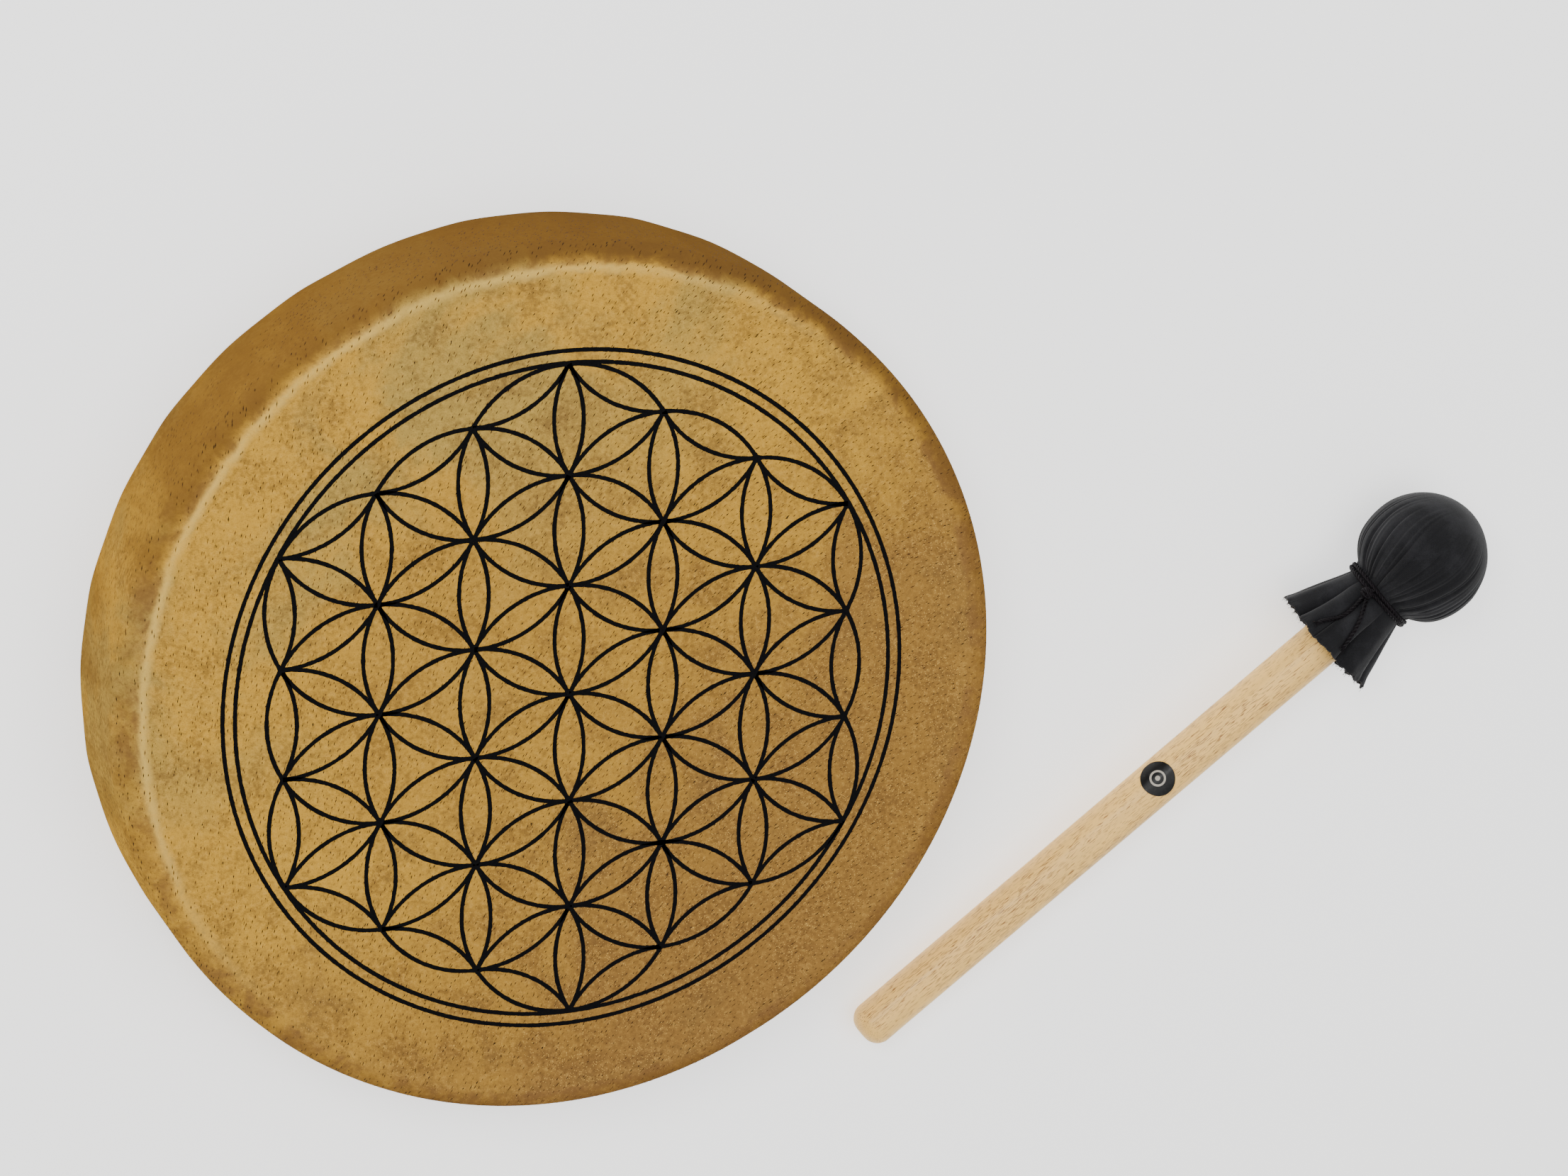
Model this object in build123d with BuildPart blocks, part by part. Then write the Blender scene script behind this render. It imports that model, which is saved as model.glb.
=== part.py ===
from build123d import *
import os
from math import acos, asin, atan, cos, degrees, hypot, radians, sin, sqrt, tan

# A single-headed frame drum lying on its laced back, with its beater on the floor beside it.
# The drum's axis is Z, the playing head faces up, and Z = 0 is the floor. Millimetres.

# Drum sizes
head_diameter = 400.0      # over the skin
drum_depth = 60.0          # floor to playing face
skin_thickness = 1.0
front_round = 7.0          # outside radius where the skin turns over the playing edge
back_round = 2.5           # outside radius where the skin turns under the hoop
ply_thickness = 2.6
ply_count = 3
glue_line = 0.1
skin_fit = 0.1             # between hoop and skin
ply_joint_gap = 0.3        # where the two ends of a bent ply butt
back_land = 7.0            # flat of the skin that rests on the floor
margin_width = 38.0        # skin inside that flat, pulled in by the lace

# Printed pattern of interlaced circles
circle_radius = 50.0
print_line = 1.7
ink_thickness = 0.1
inner_ring_radius = 150.5
outer_ring_radius = 156.0
print_shift = (1.7, -3.1)  # the print's centre from the drum's axis
pattern_reach = 3          # circles from the middle of the pattern to its corner

# Lacing and hand ring
slit_count = 32
lacing_turn = 2.4          # the whole lacing's turn about the drum's axis, degrees
slit_inset = 12.0          # from the skin's cut edge to the slits
slit_length = 7.0
slit_play = 1.0            # of the lace across its slit
lace_diameter = 2.4
lace_fit = 0.1
strand_gap = 0.3           # between a strand and the skin at its slit
bend_play = 0.65           # of the lace's bends through a slit over its own radius
ring_radius = 30.0         # to the middle of the ring's wire
ring_wire = 6.0
ring_height = 24.0
cover_thickness = 0.8
cover_seam = 0.5
knot_distance = 62.0       # of the lace's knot from the drum's axis
knot_turns = 3
tail_length = 9.0

# Beater sizes, measured along it from the butt
butt_place = (162.5, -206.7)
beater_heading = 38.07     # degrees from +X
butt_diameter = 21.0
neck_end_diameter = 22.1
butt_round = 8.0
handle_end = 354.0
ball_at = 347.7
ball_diameter = 59.0
core_diameter = 38.0
cover_cloth = 1.2
neck_gap = 1.08            # between the tie and the ball
neck_diameter = 33.8
skirt_length = 36.5        # from the neck to the hem
hem_width = 57.6
padding_tail = 8.5         # of the padding past the neck
soft_fit = 0.1
tie_diameter = 2.5
tie_knot_diameter = 6.6
tie_knot_drop = 6.7        # from the neck
tie_knot_turn = 131.5      # degrees round the neck, from the beater's low side
badge_at = 184.0
badge_diameter = 16.5
badge_thickness = 0.3
badge_turn = 127.0
floor_clearance = 0.1

os.makedirs("parts", exist_ok=True)


def save(part, name):
    part.label = name
    export_step(part, f"parts/{name}.step")


# ---------------------------------------------------------------- hoop
outer_radius = head_diameter / 2
hoop_radius = outer_radius - skin_thickness - skin_fit
hoop_bottom = skin_thickness + skin_fit
hoop_top = drum_depth - skin_thickness - skin_fit
hoop_front_round = front_round - skin_thickness - skin_fit
hoop_back_round = back_round - skin_thickness - skin_fit
hoop_wall = ply_count * ply_thickness + (ply_count - 1) * glue_line
hoop_inner_radius = hoop_radius - hoop_wall


def hoop_section(outside, inside):
    """The rounded section of the whole hoop, cut down to one ply."""
    with BuildSketch() as section:
        with BuildLine():
            FilletPolyline(
                (hoop_inner_radius, hoop_bottom),
                (hoop_radius, hoop_bottom),
                (hoop_radius, hoop_top),
                (hoop_inner_radius, hoop_top),
                radius=[hoop_back_round, hoop_front_round],
            )
            Line((hoop_inner_radius, hoop_top), (hoop_inner_radius, hoop_bottom))
        make_face()
        with Locations(((outside + inside) / 2, drum_depth / 2)):
            Rectangle(outside - inside, drum_depth, mode=Mode.INTERSECT)
    return section.sketch


for number, name in enumerate(("hoop_outer_ply", "hoop_middle_ply", "hoop_inner_ply")):
    outside = hoop_radius - number * (ply_thickness + glue_line)
    inside = outside - ply_thickness
    joint_angle = 90 + number * 360 / ply_count
    with BuildPart() as hoop_ply:
        with BuildSketch(Plane.XZ):
            add(hoop_section(outside, inside))
        revolve(axis=Axis.Z)
        with BuildSketch(Plane.XY):
            with Locations(Rotation(0, 0, joint_angle)):
                with Locations((outer_radius, 0)):
                    Rectangle(outer_radius, ply_joint_gap)
        extrude(amount=drum_depth, mode=Mode.SUBTRACT)
    save(hoop_ply.part, name)

# ---------------------------------------------------------------- skin
land_radius = outer_radius - back_round - back_land
edge_radius = land_radius - margin_width
lace_radius = lace_diameter / 2
lace_pocket = lace_diameter + 2 * lace_fit
edge_height = lace_pocket * margin_width / (margin_width - slit_inset)
slit_radius = edge_radius + slit_inset
slit_step = 360 / slit_count
slit_width = lace_diameter + slit_play

with BuildPart() as goatskin_head:
    with BuildSketch(Plane.XZ):
        with BuildLine():
            FilletPolyline(
                (0, drum_depth),
                (outer_radius, drum_depth),
                (outer_radius, 0),
                (land_radius, 0),
                radius=[front_round, back_round],
            )
            Polyline(
                (land_radius, 0),
                (edge_radius, edge_height),
                (edge_radius, edge_height + skin_thickness),
                (land_radius, skin_thickness),
            )
            FilletPolyline(
                (land_radius, skin_thickness),
                (outer_radius - skin_thickness, skin_thickness),
                (outer_radius - skin_thickness, drum_depth - skin_thickness),
                (0, drum_depth - skin_thickness),
                radius=[back_round - skin_thickness, front_round - skin_thickness],
            )
            Line((0, drum_depth - skin_thickness), (0, drum_depth))
        make_face()
    revolve(axis=Axis.Z)
    with BuildSketch(Plane.XY):
        with PolarLocations(slit_radius, slit_count, start_angle=lacing_turn + slit_step / 2):
            SlotOverall(slit_length, slit_width, rotation=90)
    extrude(amount=edge_height + 2 * skin_thickness, mode=Mode.SUBTRACT)
save(goatskin_head.part, "goatskin_head")

# ---------------------------------------------------------------- printed design
# The pattern is a disc of ink pierced by what the lines leave bare: a petal between each two
# neighbouring nodes of a triangular lattice, a three-pointed star between each three, and six
# bands between the pattern and its ring.
row_step = circle_radius * sqrt(3) / 2
lattice = [
    (column * row_step, (place - (2 * pattern_reach - abs(column)) / 2) * circle_radius)
    for column in range(-pattern_reach, pattern_reach + 1)
    for place in range(2 * pattern_reach + 1 - abs(column))
]
steps = [(radians(angle), angle) for angle in (30, 90, 150)]


def on_lattice(x, y):
    return any(hypot(x - a, y - b) < circle_radius / 10 for a, b in lattice)


petals = [
    (x + cos(turn) * circle_radius / 2, y + sin(turn) * circle_radius / 2, angle)
    for x, y in lattice
    for turn, angle in steps
    if on_lattice(x + cos(turn) * circle_radius, y + sin(turn) * circle_radius)
]
star_reach = circle_radius / sqrt(3)
stars = [
    (x + cos(radians(angle)) * star_reach, y + sin(radians(angle)) * star_reach, angle + 180)
    for x, y in lattice
    for angle in (0, 60)
    if all(
        on_lattice(
            x + cos(radians(angle + side)) * circle_radius,
            y + sin(radians(angle + side)) * circle_radius,
        )
        for side in (-30, 30)
    )
]
arc_inside = circle_radius - print_line / 2
arc_outside = circle_radius + print_line / 2
ring_bare_radius = inner_ring_radius - print_line / 2


def polar(radius, angle):
    return (radius * cos(radians(angle)), radius * sin(radians(angle)))


def arc_about(centre, start, finish):
    """The shorter arc about a centre from start to finish."""
    mean = ((start[0] + finish[0]) / 2 - centre[0], (start[1] + finish[1]) / 2 - centre[1])
    radius = hypot(start[0] - centre[0], start[1] - centre[1])
    grow = radius / hypot(*mean)
    return ThreePointArc(start, (centre[0] + mean[0] * grow, centre[1] + mean[1] * grow), finish)


# A petal lies between two arcs about the nodes on either side of it.
petal_half = sqrt(arc_inside**2 - row_step**2)
petal_bulge = arc_inside - row_step
with BuildSketch() as petal:
    with BuildLine():
        ThreePointArc((-petal_half, 0), (0, petal_bulge), (petal_half, 0))
        ThreePointArc((petal_half, 0), (0, -petal_bulge), (-petal_half, 0))
    make_face()

# A star's three sides curve inwards, about the nodes across each side.
star_tip = star_reach - sqrt(arc_outside**2 - circle_radius**2)
star_waist = 2 * star_reach - arc_outside
with BuildSketch() as star:
    with BuildLine():
        for angle in (0, 120, 240):
            ThreePointArc(
                polar(star_tip, angle),
                polar(star_waist, angle + 60),
                polar(star_tip, angle + 120),
            )
    make_face()

# A band runs between three outer circles and the inner ring, over a sixth of a turn.
far = (pattern_reach - 1) * circle_radius
meet_cosine = (ring_bare_radius**2 + far**2 - arc_outside**2) / (2 * ring_bare_radius * far)
meet = degrees(acos(meet_cosine))
centres = [polar(far, 0), polar(far * cos(radians(30)), 30), polar(far, 60)]
lift = polar(sqrt(arc_outside**2 - circle_radius**2 / 4), 30)
cusps = [
    ((a[0] + b[0]) / 2 + lift[0], (a[1] + b[1]) / 2 + lift[1])
    for a, b in zip(centres, centres[1:])
]
corners = [polar(ring_bare_radius, meet), *cusps, polar(ring_bare_radius, 60 - meet)]
with BuildSketch() as band:
    with BuildLine():
        for centre, start, finish in zip(centres, corners, corners[1:]):
            arc_about(centre, start, finish)
        arc_about((0, 0), corners[-1], corners[0])
    make_face()

bands = [(0, 0, 30 + turn) for turn in range(0, 360, 60)]
bare_places = ((petal, petals), (star, stars), (band, bands))
bare = [
    shape.sketch.moved(Location((x, y, 0), (0, 0, turn)))
    for shape, places in bare_places
    for x, y, turn in places
]
print_plane = Plane((*print_shift, drum_depth))
with BuildPart() as printed_design:
    with BuildSketch(print_plane):
        Circle(inner_ring_radius + print_line / 2)
        add(bare, mode=Mode.SUBTRACT)
    extrude(amount=ink_thickness)
    with BuildSketch(print_plane):
        Circle(outer_ring_radius + print_line / 2)
        Circle(outer_ring_radius - print_line / 2, mode=Mode.SUBTRACT)
    extrude(amount=ink_thickness)

save(printed_design.part, "printed_design")

# ---------------------------------------------------------------- lace
# Each of the lace's periods runs in over the hand ring, round its inner side and out beneath it,
# down through a slit, along under the skin and up through the next slit.
turn_count = slit_count // 2
cover_bore = ring_wire / 2 + lace_fit
cover_radius = cover_bore + cover_thickness
wrap_radius = cover_radius + lace_radius + lace_fit
stitch_height = lace_radius + lace_fit
strand_height = lace_pocket + skin_thickness + lace_radius + strand_gap
slit_bend = lace_radius + bend_play
reach = slit_radius - ring_radius
climb = ring_height - strand_height
fall_angle = atan(climb / reach)
spread_angle = asin(wrap_radius / hypot(reach, climb))
top_slope = fall_angle + spread_angle
bottom_slope = fall_angle - spread_angle


def around(radius, angle, height):
    turn = radians(angle + lacing_turn)
    return Vector(radius * cos(turn), radius * sin(turn), height)


turn_radius = ring_radius - wrap_radius
turn_top = ring_height + wrap_radius * (1 / cos(top_slope) + tan(top_slope))
turn_bottom = ring_height - wrap_radius * (1 / cos(bottom_slope) - tan(bottom_slope))
half_step = slit_step / 2
strand_start = around(slit_radius, -half_step, strand_height)
strand_end = around(turn_radius, 0, turn_top)
next_start = around(slit_radius, 3 * half_step, strand_height)
next_end = around(turn_radius, 2 * slit_step, turn_top)
lace_points = [
    (strand_start + strand_end) / 2,
    strand_end,
    around(turn_radius, 0, turn_bottom),
    around(slit_radius, half_step, strand_height),
    around(slit_radius, half_step, stitch_height),
    around(slit_radius, 3 * half_step, stitch_height),
    next_start,
    (next_start + next_end) / 2,
]
wrap_bend = wrap_radius - lace_fit

with BuildPart() as lace_period:
    with BuildLine() as lace_path:
        FilletPolyline(*lace_points, radius=[wrap_bend] * 2 + [slit_bend] * 4)
    with BuildSketch(Plane(lace_path.line @ 0, z_dir=lace_path.line % 0)):
        Circle(lace_radius)
    sweep()

with BuildPart() as lace:
    with PolarLocations(0, turn_count):
        add(lace_period.part)
save(lace.part, "lace")

# The knot that joins the lace's ends: wraps side by side round one strand, with two short tails.
strand_line = (strand_end - strand_start).normalized()
knot_share = (slit_radius - knot_distance) / (slit_radius - turn_radius)
knot_centre = strand_start + (strand_end - strand_start) * knot_share
knot_pitch = lace_diameter * 0.96
knot_length = (2 * knot_turns - 1) * knot_pitch
wrap_line = lace_diameter + lace_fit
knot_plane = Plane(knot_centre, x_dir=strand_line, z_dir=strand_line.cross(Vector(0, 0, 1)))

with BuildPart() as lace_knot:
    with BuildSketch(knot_plane):
        with Locations((0, wrap_line)):
            Rectangle(knot_length, lace_radius)
        with GridLocations(knot_pitch, 0, 2 * knot_turns, 1):
            with Locations((0, wrap_line)):
                Circle(lace_radius)
    revolve(axis=Axis(knot_centre, strand_line))
    for end in (1, -1):
        tail_root = end * (knot_length - lace_radius) / 2
        tail_start = knot_plane.from_local_coords((tail_root, wrap_line, 0))
        tail_line = knot_plane.from_local_coords((end, 0.6, end * 0.8)) - knot_centre
        with BuildSketch(Plane(tail_start, z_dir=tail_line)):
            Circle(lace_radius)
        extrude(amount=tail_length)
save(lace_knot.part, "lace_knot")

# ---------------------------------------------------------------- hand ring
with BuildPart() as ring_core:
    with BuildSketch(Plane.XZ):
        with Locations((ring_radius, ring_height)):
            Circle(ring_wire / 2)
    revolve(axis=Axis.Z)
save(ring_core.part, "ring_core")

with BuildPart() as ring_cover:
    with BuildSketch(Plane.XZ):
        with Locations((ring_radius, ring_height)):
            Circle(cover_radius)
            Circle(cover_bore, mode=Mode.SUBTRACT)
        with Locations((ring_radius + cover_radius, ring_height)):
            Rectangle(cover_radius, cover_seam, mode=Mode.SUBTRACT)
    revolve(axis=Axis.Z)
save(ring_cover.part, "ring_cover")

# ---------------------------------------------------------------- beater
# The beater lies with its ball and its butt on the floor, so its axis climbs a little.
ball_radius = ball_diameter / 2
butt_radius = butt_diameter / 2
tilt = asin((ball_radius - butt_radius) / (ball_at - butt_round))
heading = radians(beater_heading)
beater_line = Vector(cos(heading) * cos(tilt), sin(heading) * cos(tilt), sin(tilt))
butt_height = butt_radius - butt_round * sin(tilt) + floor_clearance
butt = Vector(*butt_place, butt_height)
beater_side = beater_line.cross(Vector(0, 0, 1)).normalized()
beater_up = beater_side.cross(beater_line)
beater_axis = Axis(butt, beater_line)
beater_section = Plane(butt, x_dir=beater_line, z_dir=beater_side)


def on_beater(along, turn, radius):
    """A point at a distance along the beater, a turn about it and a distance from its axis."""
    outward = beater_side * cos(radians(turn)) + beater_up * sin(radians(turn))
    return butt + beater_line * along + outward * radius


def across_beater(along):
    return Plane(butt + beater_line * along, x_dir=beater_side, z_dir=beater_line)


def handle_radius(along):
    return butt_radius + (neck_end_diameter - butt_diameter) / 2 * along / handle_end


with BuildPart() as beater_handle:
    with BuildSketch(beater_section):
        with BuildLine():
            FilletPolyline(
                (0, 0),
                (0, butt_radius),
                (handle_end, neck_end_diameter / 2),
                (handle_end, 0),
                radius=[butt_round, 1],
            )
            Line((handle_end, 0), (0, 0))
        make_face()
    revolve(axis=beater_axis)
save(beater_handle.part, "beater_handle")

badge_bore = handle_radius(badge_at + badge_diameter / 2) + soft_fit
badge_plane = Plane(
    on_beater(badge_at, badge_turn, 0),
    x_dir=beater_line,
    z_dir=on_beater(0, badge_turn, 1) - butt,
)
with BuildPart() as handle_badge:
    with BuildSketch(across_beater(badge_at - badge_diameter)):
        Circle(badge_bore + badge_thickness)
        Circle(badge_bore, mode=Mode.SUBTRACT)
    extrude(amount=2 * badge_diameter)
    with BuildSketch(badge_plane):
        Circle(badge_diameter / 2)
    extrude(amount=2 * butt_radius, mode=Mode.INTERSECT)
save(handle_badge.part, "handle_badge")

handle_bore = neck_end_diameter / 2 + soft_fit
core_radius = core_diameter / 2
cavity_radius = core_radius + soft_fit
padding_radius = ball_radius - cover_cloth - soft_fit
neck_radius = neck_diameter / 2
tie_radius = tie_diameter / 2
tie_line = neck_radius + tie_radius + soft_fit
tie_turns = (tie_radius, -tie_radius * 0.9)
neck_at = ball_at + tie_turns[1] - sqrt((ball_radius + tie_radius + neck_gap) ** 2 - tie_line**2)
padding_neck_radius = neck_radius - cover_cloth - soft_fit


def half_section(ball, neck, neck_start):
    """A ball and its neck, from the beater's axis outwards."""
    with BuildSketch() as section:
        with Locations((ball_at, 0)):
            Circle(ball)
        with Locations(((neck_start + ball_at) / 2, 0)):
            Rectangle(ball_at - neck_start, 2 * neck)
        with Locations((ball_at, -ball_radius)):
            Rectangle(2 * ball_at, 2 * ball_radius, mode=Mode.SUBTRACT)
    return section.sketch


with BuildPart() as head_core:
    with BuildSketch(beater_section):
        add(half_section(core_radius, handle_bore / 2, ball_at - core_radius / 2))
        with Locations((handle_end / 2 + soft_fit, 0)):
            Rectangle(handle_end, 2 * handle_bore, mode=Mode.SUBTRACT)
    revolve(axis=beater_axis)
save(head_core.part, "head_core")

with BuildPart() as head_padding:
    with BuildSketch(beater_section):
        add(half_section(padding_radius, padding_neck_radius, neck_at - padding_tail))
        add(half_section(cavity_radius, handle_bore, 0), mode=Mode.SUBTRACT)
    revolve(axis=beater_axis)
save(head_padding.part, "head_padding")

skirt_top = neck_at - tie_diameter - soft_fit
hem_at = neck_at - skirt_length
hem_low = (butt_height + hem_at * sin(tilt) - floor_clearance) / cos(tilt)
hem_high = hem_low + cover_cloth
hem_middle = (hem_high - hem_low) / 2
hem_half = (hem_high + hem_low) / 2


def skirt_end(along, width, height, rise, inset):
    with BuildSketch(across_beater(along)) as end:
        with Locations((0, -rise)):
            Ellipse(width - inset, height - inset)
    return end.sketch


with BuildPart() as head_cover:
    with BuildSketch(beater_section):
        add(half_section(ball_radius, neck_radius, skirt_top - cover_cloth))
        add(half_section(ball_radius - cover_cloth, neck_radius - cover_cloth, 0), mode=Mode.SUBTRACT)
    revolve(axis=beater_axis)
    for inset, mode in ((0, Mode.ADD), (cover_cloth, Mode.SUBTRACT)):
        neck_end = skirt_end(skirt_top, neck_radius, neck_radius, 0, inset)
        hem = skirt_end(hem_at, hem_width / 2, hem_half, hem_middle, inset)
        loft([neck_end, hem], mode=mode)
save(head_cover.part, "head_cover")

with BuildPart() as tie_cord:
    with BuildSketch(beater_section):
        with Locations([(neck_at - turn, tie_line) for turn in tie_turns]):
            Circle(tie_radius)
    revolve(axis=beater_axis)
save(tie_cord.part, "tie_cord")



def on_skirt(drop, turn):
    """The skirt's distance from the beater's axis, so far below the neck."""
    share = (neck_at - drop - skirt_top) / (hem_at - skirt_top)
    across = (neck_radius + (hem_width / 2 - neck_radius) * share) * cos(radians(turn))
    height = (neck_radius + (hem_half - neck_radius) * share) * sin(radians(turn))
    return hypot(across, height + hem_middle * share)


tie_knot_radius = tie_knot_diameter / 2
tie_knot_at = neck_at - tie_knot_drop
tie_knot_out = on_skirt(tie_knot_drop, tie_knot_turn) + tie_knot_radius * 1.1
tie_knot_centre = on_beater(tie_knot_at, tie_knot_turn, tie_knot_out)
with BuildPart() as tie_knot:
    with BuildSketch(Plane(tie_knot_centre, x_dir=beater_line, z_dir=beater_side)):
        Circle(tie_knot_radius)
        with Locations((0, -tie_knot_radius)):
            Rectangle(2 * tie_knot_radius, 2 * tie_knot_radius, mode=Mode.SUBTRACT)
    revolve(axis=Axis(tie_knot_centre, beater_line))
save(tie_knot.part, "tie_knot")

# The two loose ends of the tie, lying on the skirt. Points are below the neck, round the
# beater and above the skirt.
tie_tails = {
    "tie_tail_left": [
        (10.5, 131.5, 2.91),
        (15.6, 128.6, 4.28),
        (21.5, 129.4, 3.94),
        (27.6, 134.6, 2.73),
        (33.6, 139.2, 2.12),
    ],
    "tie_tail_right": [
        (9.1, 125.2, 3.61),
        (13.7, 116.5, 4.81),
        (19.3, 109.0, 4.74),
        (25.3, 104.4, 3.94),
        (31.9, 100.6, 3.46),
    ],
}
for name, route in tie_tails.items():
    points = [
        on_beater(neck_at - drop, turn, on_skirt(drop, turn) + lift) for drop, turn, lift in route
    ]
    runs = [(b - a).length for a, b in zip(points, points[1:])]
    turns = [(b - a).get_angle(c - b) for a, b, c in zip(points, points[1:], points[2:])]
    bends = [
        0.45 * min(one, two) / tan(radians(turn) / 2)
        for one, two, turn in zip(runs, runs[1:], turns)
    ]
    with BuildPart() as tie_tail:
        with BuildLine() as tail_path:
            FilletPolyline(*points, radius=bends)
        with BuildSketch(Plane(tail_path.line @ 0, z_dir=tail_path.line % 0)):
            Circle(tie_radius)
        sweep()
    print(name, "length", round(sum(runs), 1), "bends", [round(bend, 1) for bend in bends])
    save(tie_tail.part, name)
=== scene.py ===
import math
import random

import bmesh
import bpy
import numpy as np
from mathutils import Matrix, Vector, noise
from mathutils.bvhtree import BVHTree


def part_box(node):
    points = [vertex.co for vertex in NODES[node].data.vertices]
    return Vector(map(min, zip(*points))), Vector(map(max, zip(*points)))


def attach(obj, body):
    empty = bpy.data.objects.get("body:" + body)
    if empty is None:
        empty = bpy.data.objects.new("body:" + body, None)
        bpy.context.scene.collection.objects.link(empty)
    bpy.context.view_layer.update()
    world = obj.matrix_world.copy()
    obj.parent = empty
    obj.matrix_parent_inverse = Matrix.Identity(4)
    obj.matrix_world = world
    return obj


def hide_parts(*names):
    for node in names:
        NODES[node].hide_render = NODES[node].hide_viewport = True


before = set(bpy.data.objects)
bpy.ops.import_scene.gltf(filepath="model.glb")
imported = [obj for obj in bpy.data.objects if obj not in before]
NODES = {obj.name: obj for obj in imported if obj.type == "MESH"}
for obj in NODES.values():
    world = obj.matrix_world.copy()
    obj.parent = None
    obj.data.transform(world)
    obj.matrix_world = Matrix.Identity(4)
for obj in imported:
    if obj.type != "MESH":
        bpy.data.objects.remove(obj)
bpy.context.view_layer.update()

bl_info = {
    "name": "Frame drum and beater",
    "version": (1, 0, 0),
    "blender": (4, 5, 0),
    "location": "View3D > Sidebar > Drum",
    "description": "Dresses a laced goatskin frame drum and its padded beater",
    "category": "Object",
}

MM = 0.001
HEAD_LOW, HEAD_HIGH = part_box("goatskin_head")
HEAD_RADIUS = HEAD_HIGH.x
DEPTH = HEAD_HIGH.z
PRINT_LOW, PRINT_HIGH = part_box("printed_design")
PRINT_CENTRE = (PRINT_LOW + PRINT_HIGH) / 2
UPPER_SIDE = math.radians(121)  # the beater's side that shows most from above
NECK_BAND = 2.6 * MM  # of the cover, between its skirt and the tie


# ------------------------------------------------------------------ settings
def millimetres(name, description, default, low=0.0, high=1.0):
    return bpy.props.FloatProperty(
        name=name,
        description=description,
        default=default * MM,
        min=low,
        max=high,
        precision=4,
        subtype="DISTANCE",
        unit="LENGTH",
    )


def bearing(name, description, default):
    return bpy.props.FloatProperty(
        name=name,
        description=description,
        default=math.radians(default),
        subtype="ANGLE",
        unit="ROTATION",
    )


def position(name, description, default):
    return bpy.props.FloatVectorProperty(
        name=name, description=description, default=default, size=3, subtype="XYZ", unit="LENGTH"
    )


def direction(name, description, default):
    return bpy.props.FloatVectorProperty(
        name=name, description=description, default=default, size=3, subtype="DIRECTION"
    )


def colour(name, description, default):
    return bpy.props.FloatVectorProperty(
        name=name, description=description, default=default, size=3, min=0, max=1, subtype="COLOR"
    )


class DrumSizes(bpy.types.PropertyGroup):
    """Sizes of the skin, its lacing and its print."""

    skin: millimetres("Skin", "Thickness of the goatskin", 1.0)
    front_round: millimetres("Playing edge", "Radius of the skin over the playing edge", 7.0)
    back_round: millimetres("Back edge", "Radius of the skin under the hoop", 2.5)
    back_land: millimetres("Back flat", "Width of the flat that rests on the floor", 7.0)
    margin: millimetres("Margin", "Width of the laced margin", 38.0)
    margin_rise: millimetres("Margin rise", "Height of the margin's cut edge", 3.8)
    slit_inset: millimetres("Slit inset", "Distance from the cut edge to the slits", 12.0)
    slit_count: bpy.props.IntProperty(
        name="Slits", description="Number of slits for the lace", default=32, min=8, max=64
    )
    lacing_turn: bearing("Lacing turn", "Turn of the whole lacing about the drum", 2.4)
    corner_height: millimetres("Corners", "How far the skin's corners stand out at the back", 0.45)
    out_of_round: millimetres("Out of round", "How much wider than tall the skin's outline is", 2.5)
    lace: millimetres("Lace", "Thickness of the rawhide lace", 2.4)
    ring_radius: millimetres("Hand ring", "Radius of the hand ring to its wire's middle", 30.0)
    ring_height: millimetres("Ring height", "Height of the hand ring", 24.0)
    ring_cover: millimetres("Ring cover", "Radius of the ring's leather cover", 3.9)
    circle: millimetres("Print circle", "Radius of the print's circles", 50.0)
    line: millimetres("Print line", "Width of the print's lines", 1.95)
    inner_ring: millimetres("Inner ring", "Radius of the print's inner ring", 150.5)
    outer_ring: millimetres("Outer ring", "Radius of the print's outer ring", 156.0)
    stub_spacing: millimetres("Hair spacing", "Distance between the skin's hair stubs", 2.9)


class BeaterSizes(bpy.types.PropertyGroup):
    """Sizes of the beater, measured along it from its butt."""

    butt: position("Butt", "Middle of the handle's end", (0.1625, -0.2067, 0.010143))
    heading: bearing("Heading", "Direction of the beater on the floor", 38.07)
    tilt: bearing("Tilt", "Climb of the beater from its butt to its ball", 3.2059)
    ball_at: millimetres("Ball", "Distance of the ball's middle", 347.7)
    ball: millimetres("Ball radius", "Radius of the covered ball", 29.5)
    neck_at: millimetres("Neck", "Distance of the tied neck", 320.5)
    neck: millimetres("Neck radius", "Radius of the cloth under the tie", 16.9)
    hem_at: millimetres("Hem", "Distance of the skirt's hem", 284.0)
    hem: millimetres("Hem radius", "Radius of the skirt at its hem", 30.2)
    cloth: millimetres("Cloth", "Thickness of the cover's cloth", 0.9)
    pleats: bpy.props.IntProperty(
        name="Pleats", description="Number of the skirt's folds", default=9, min=6, max=40
    )
    tie: millimetres("Tie cord", "Thickness of the tie's cord", 2.2)
    tie_turn: bearing("Tie knot", "Turn of the tie's knot about the beater", 131.5)
    badge_at: millimetres("Badge", "Distance of the handle's badge", 184.0)
    badge_turn: bearing("Badge turn", "Turn of the badge about the handle", 127.0)


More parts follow.
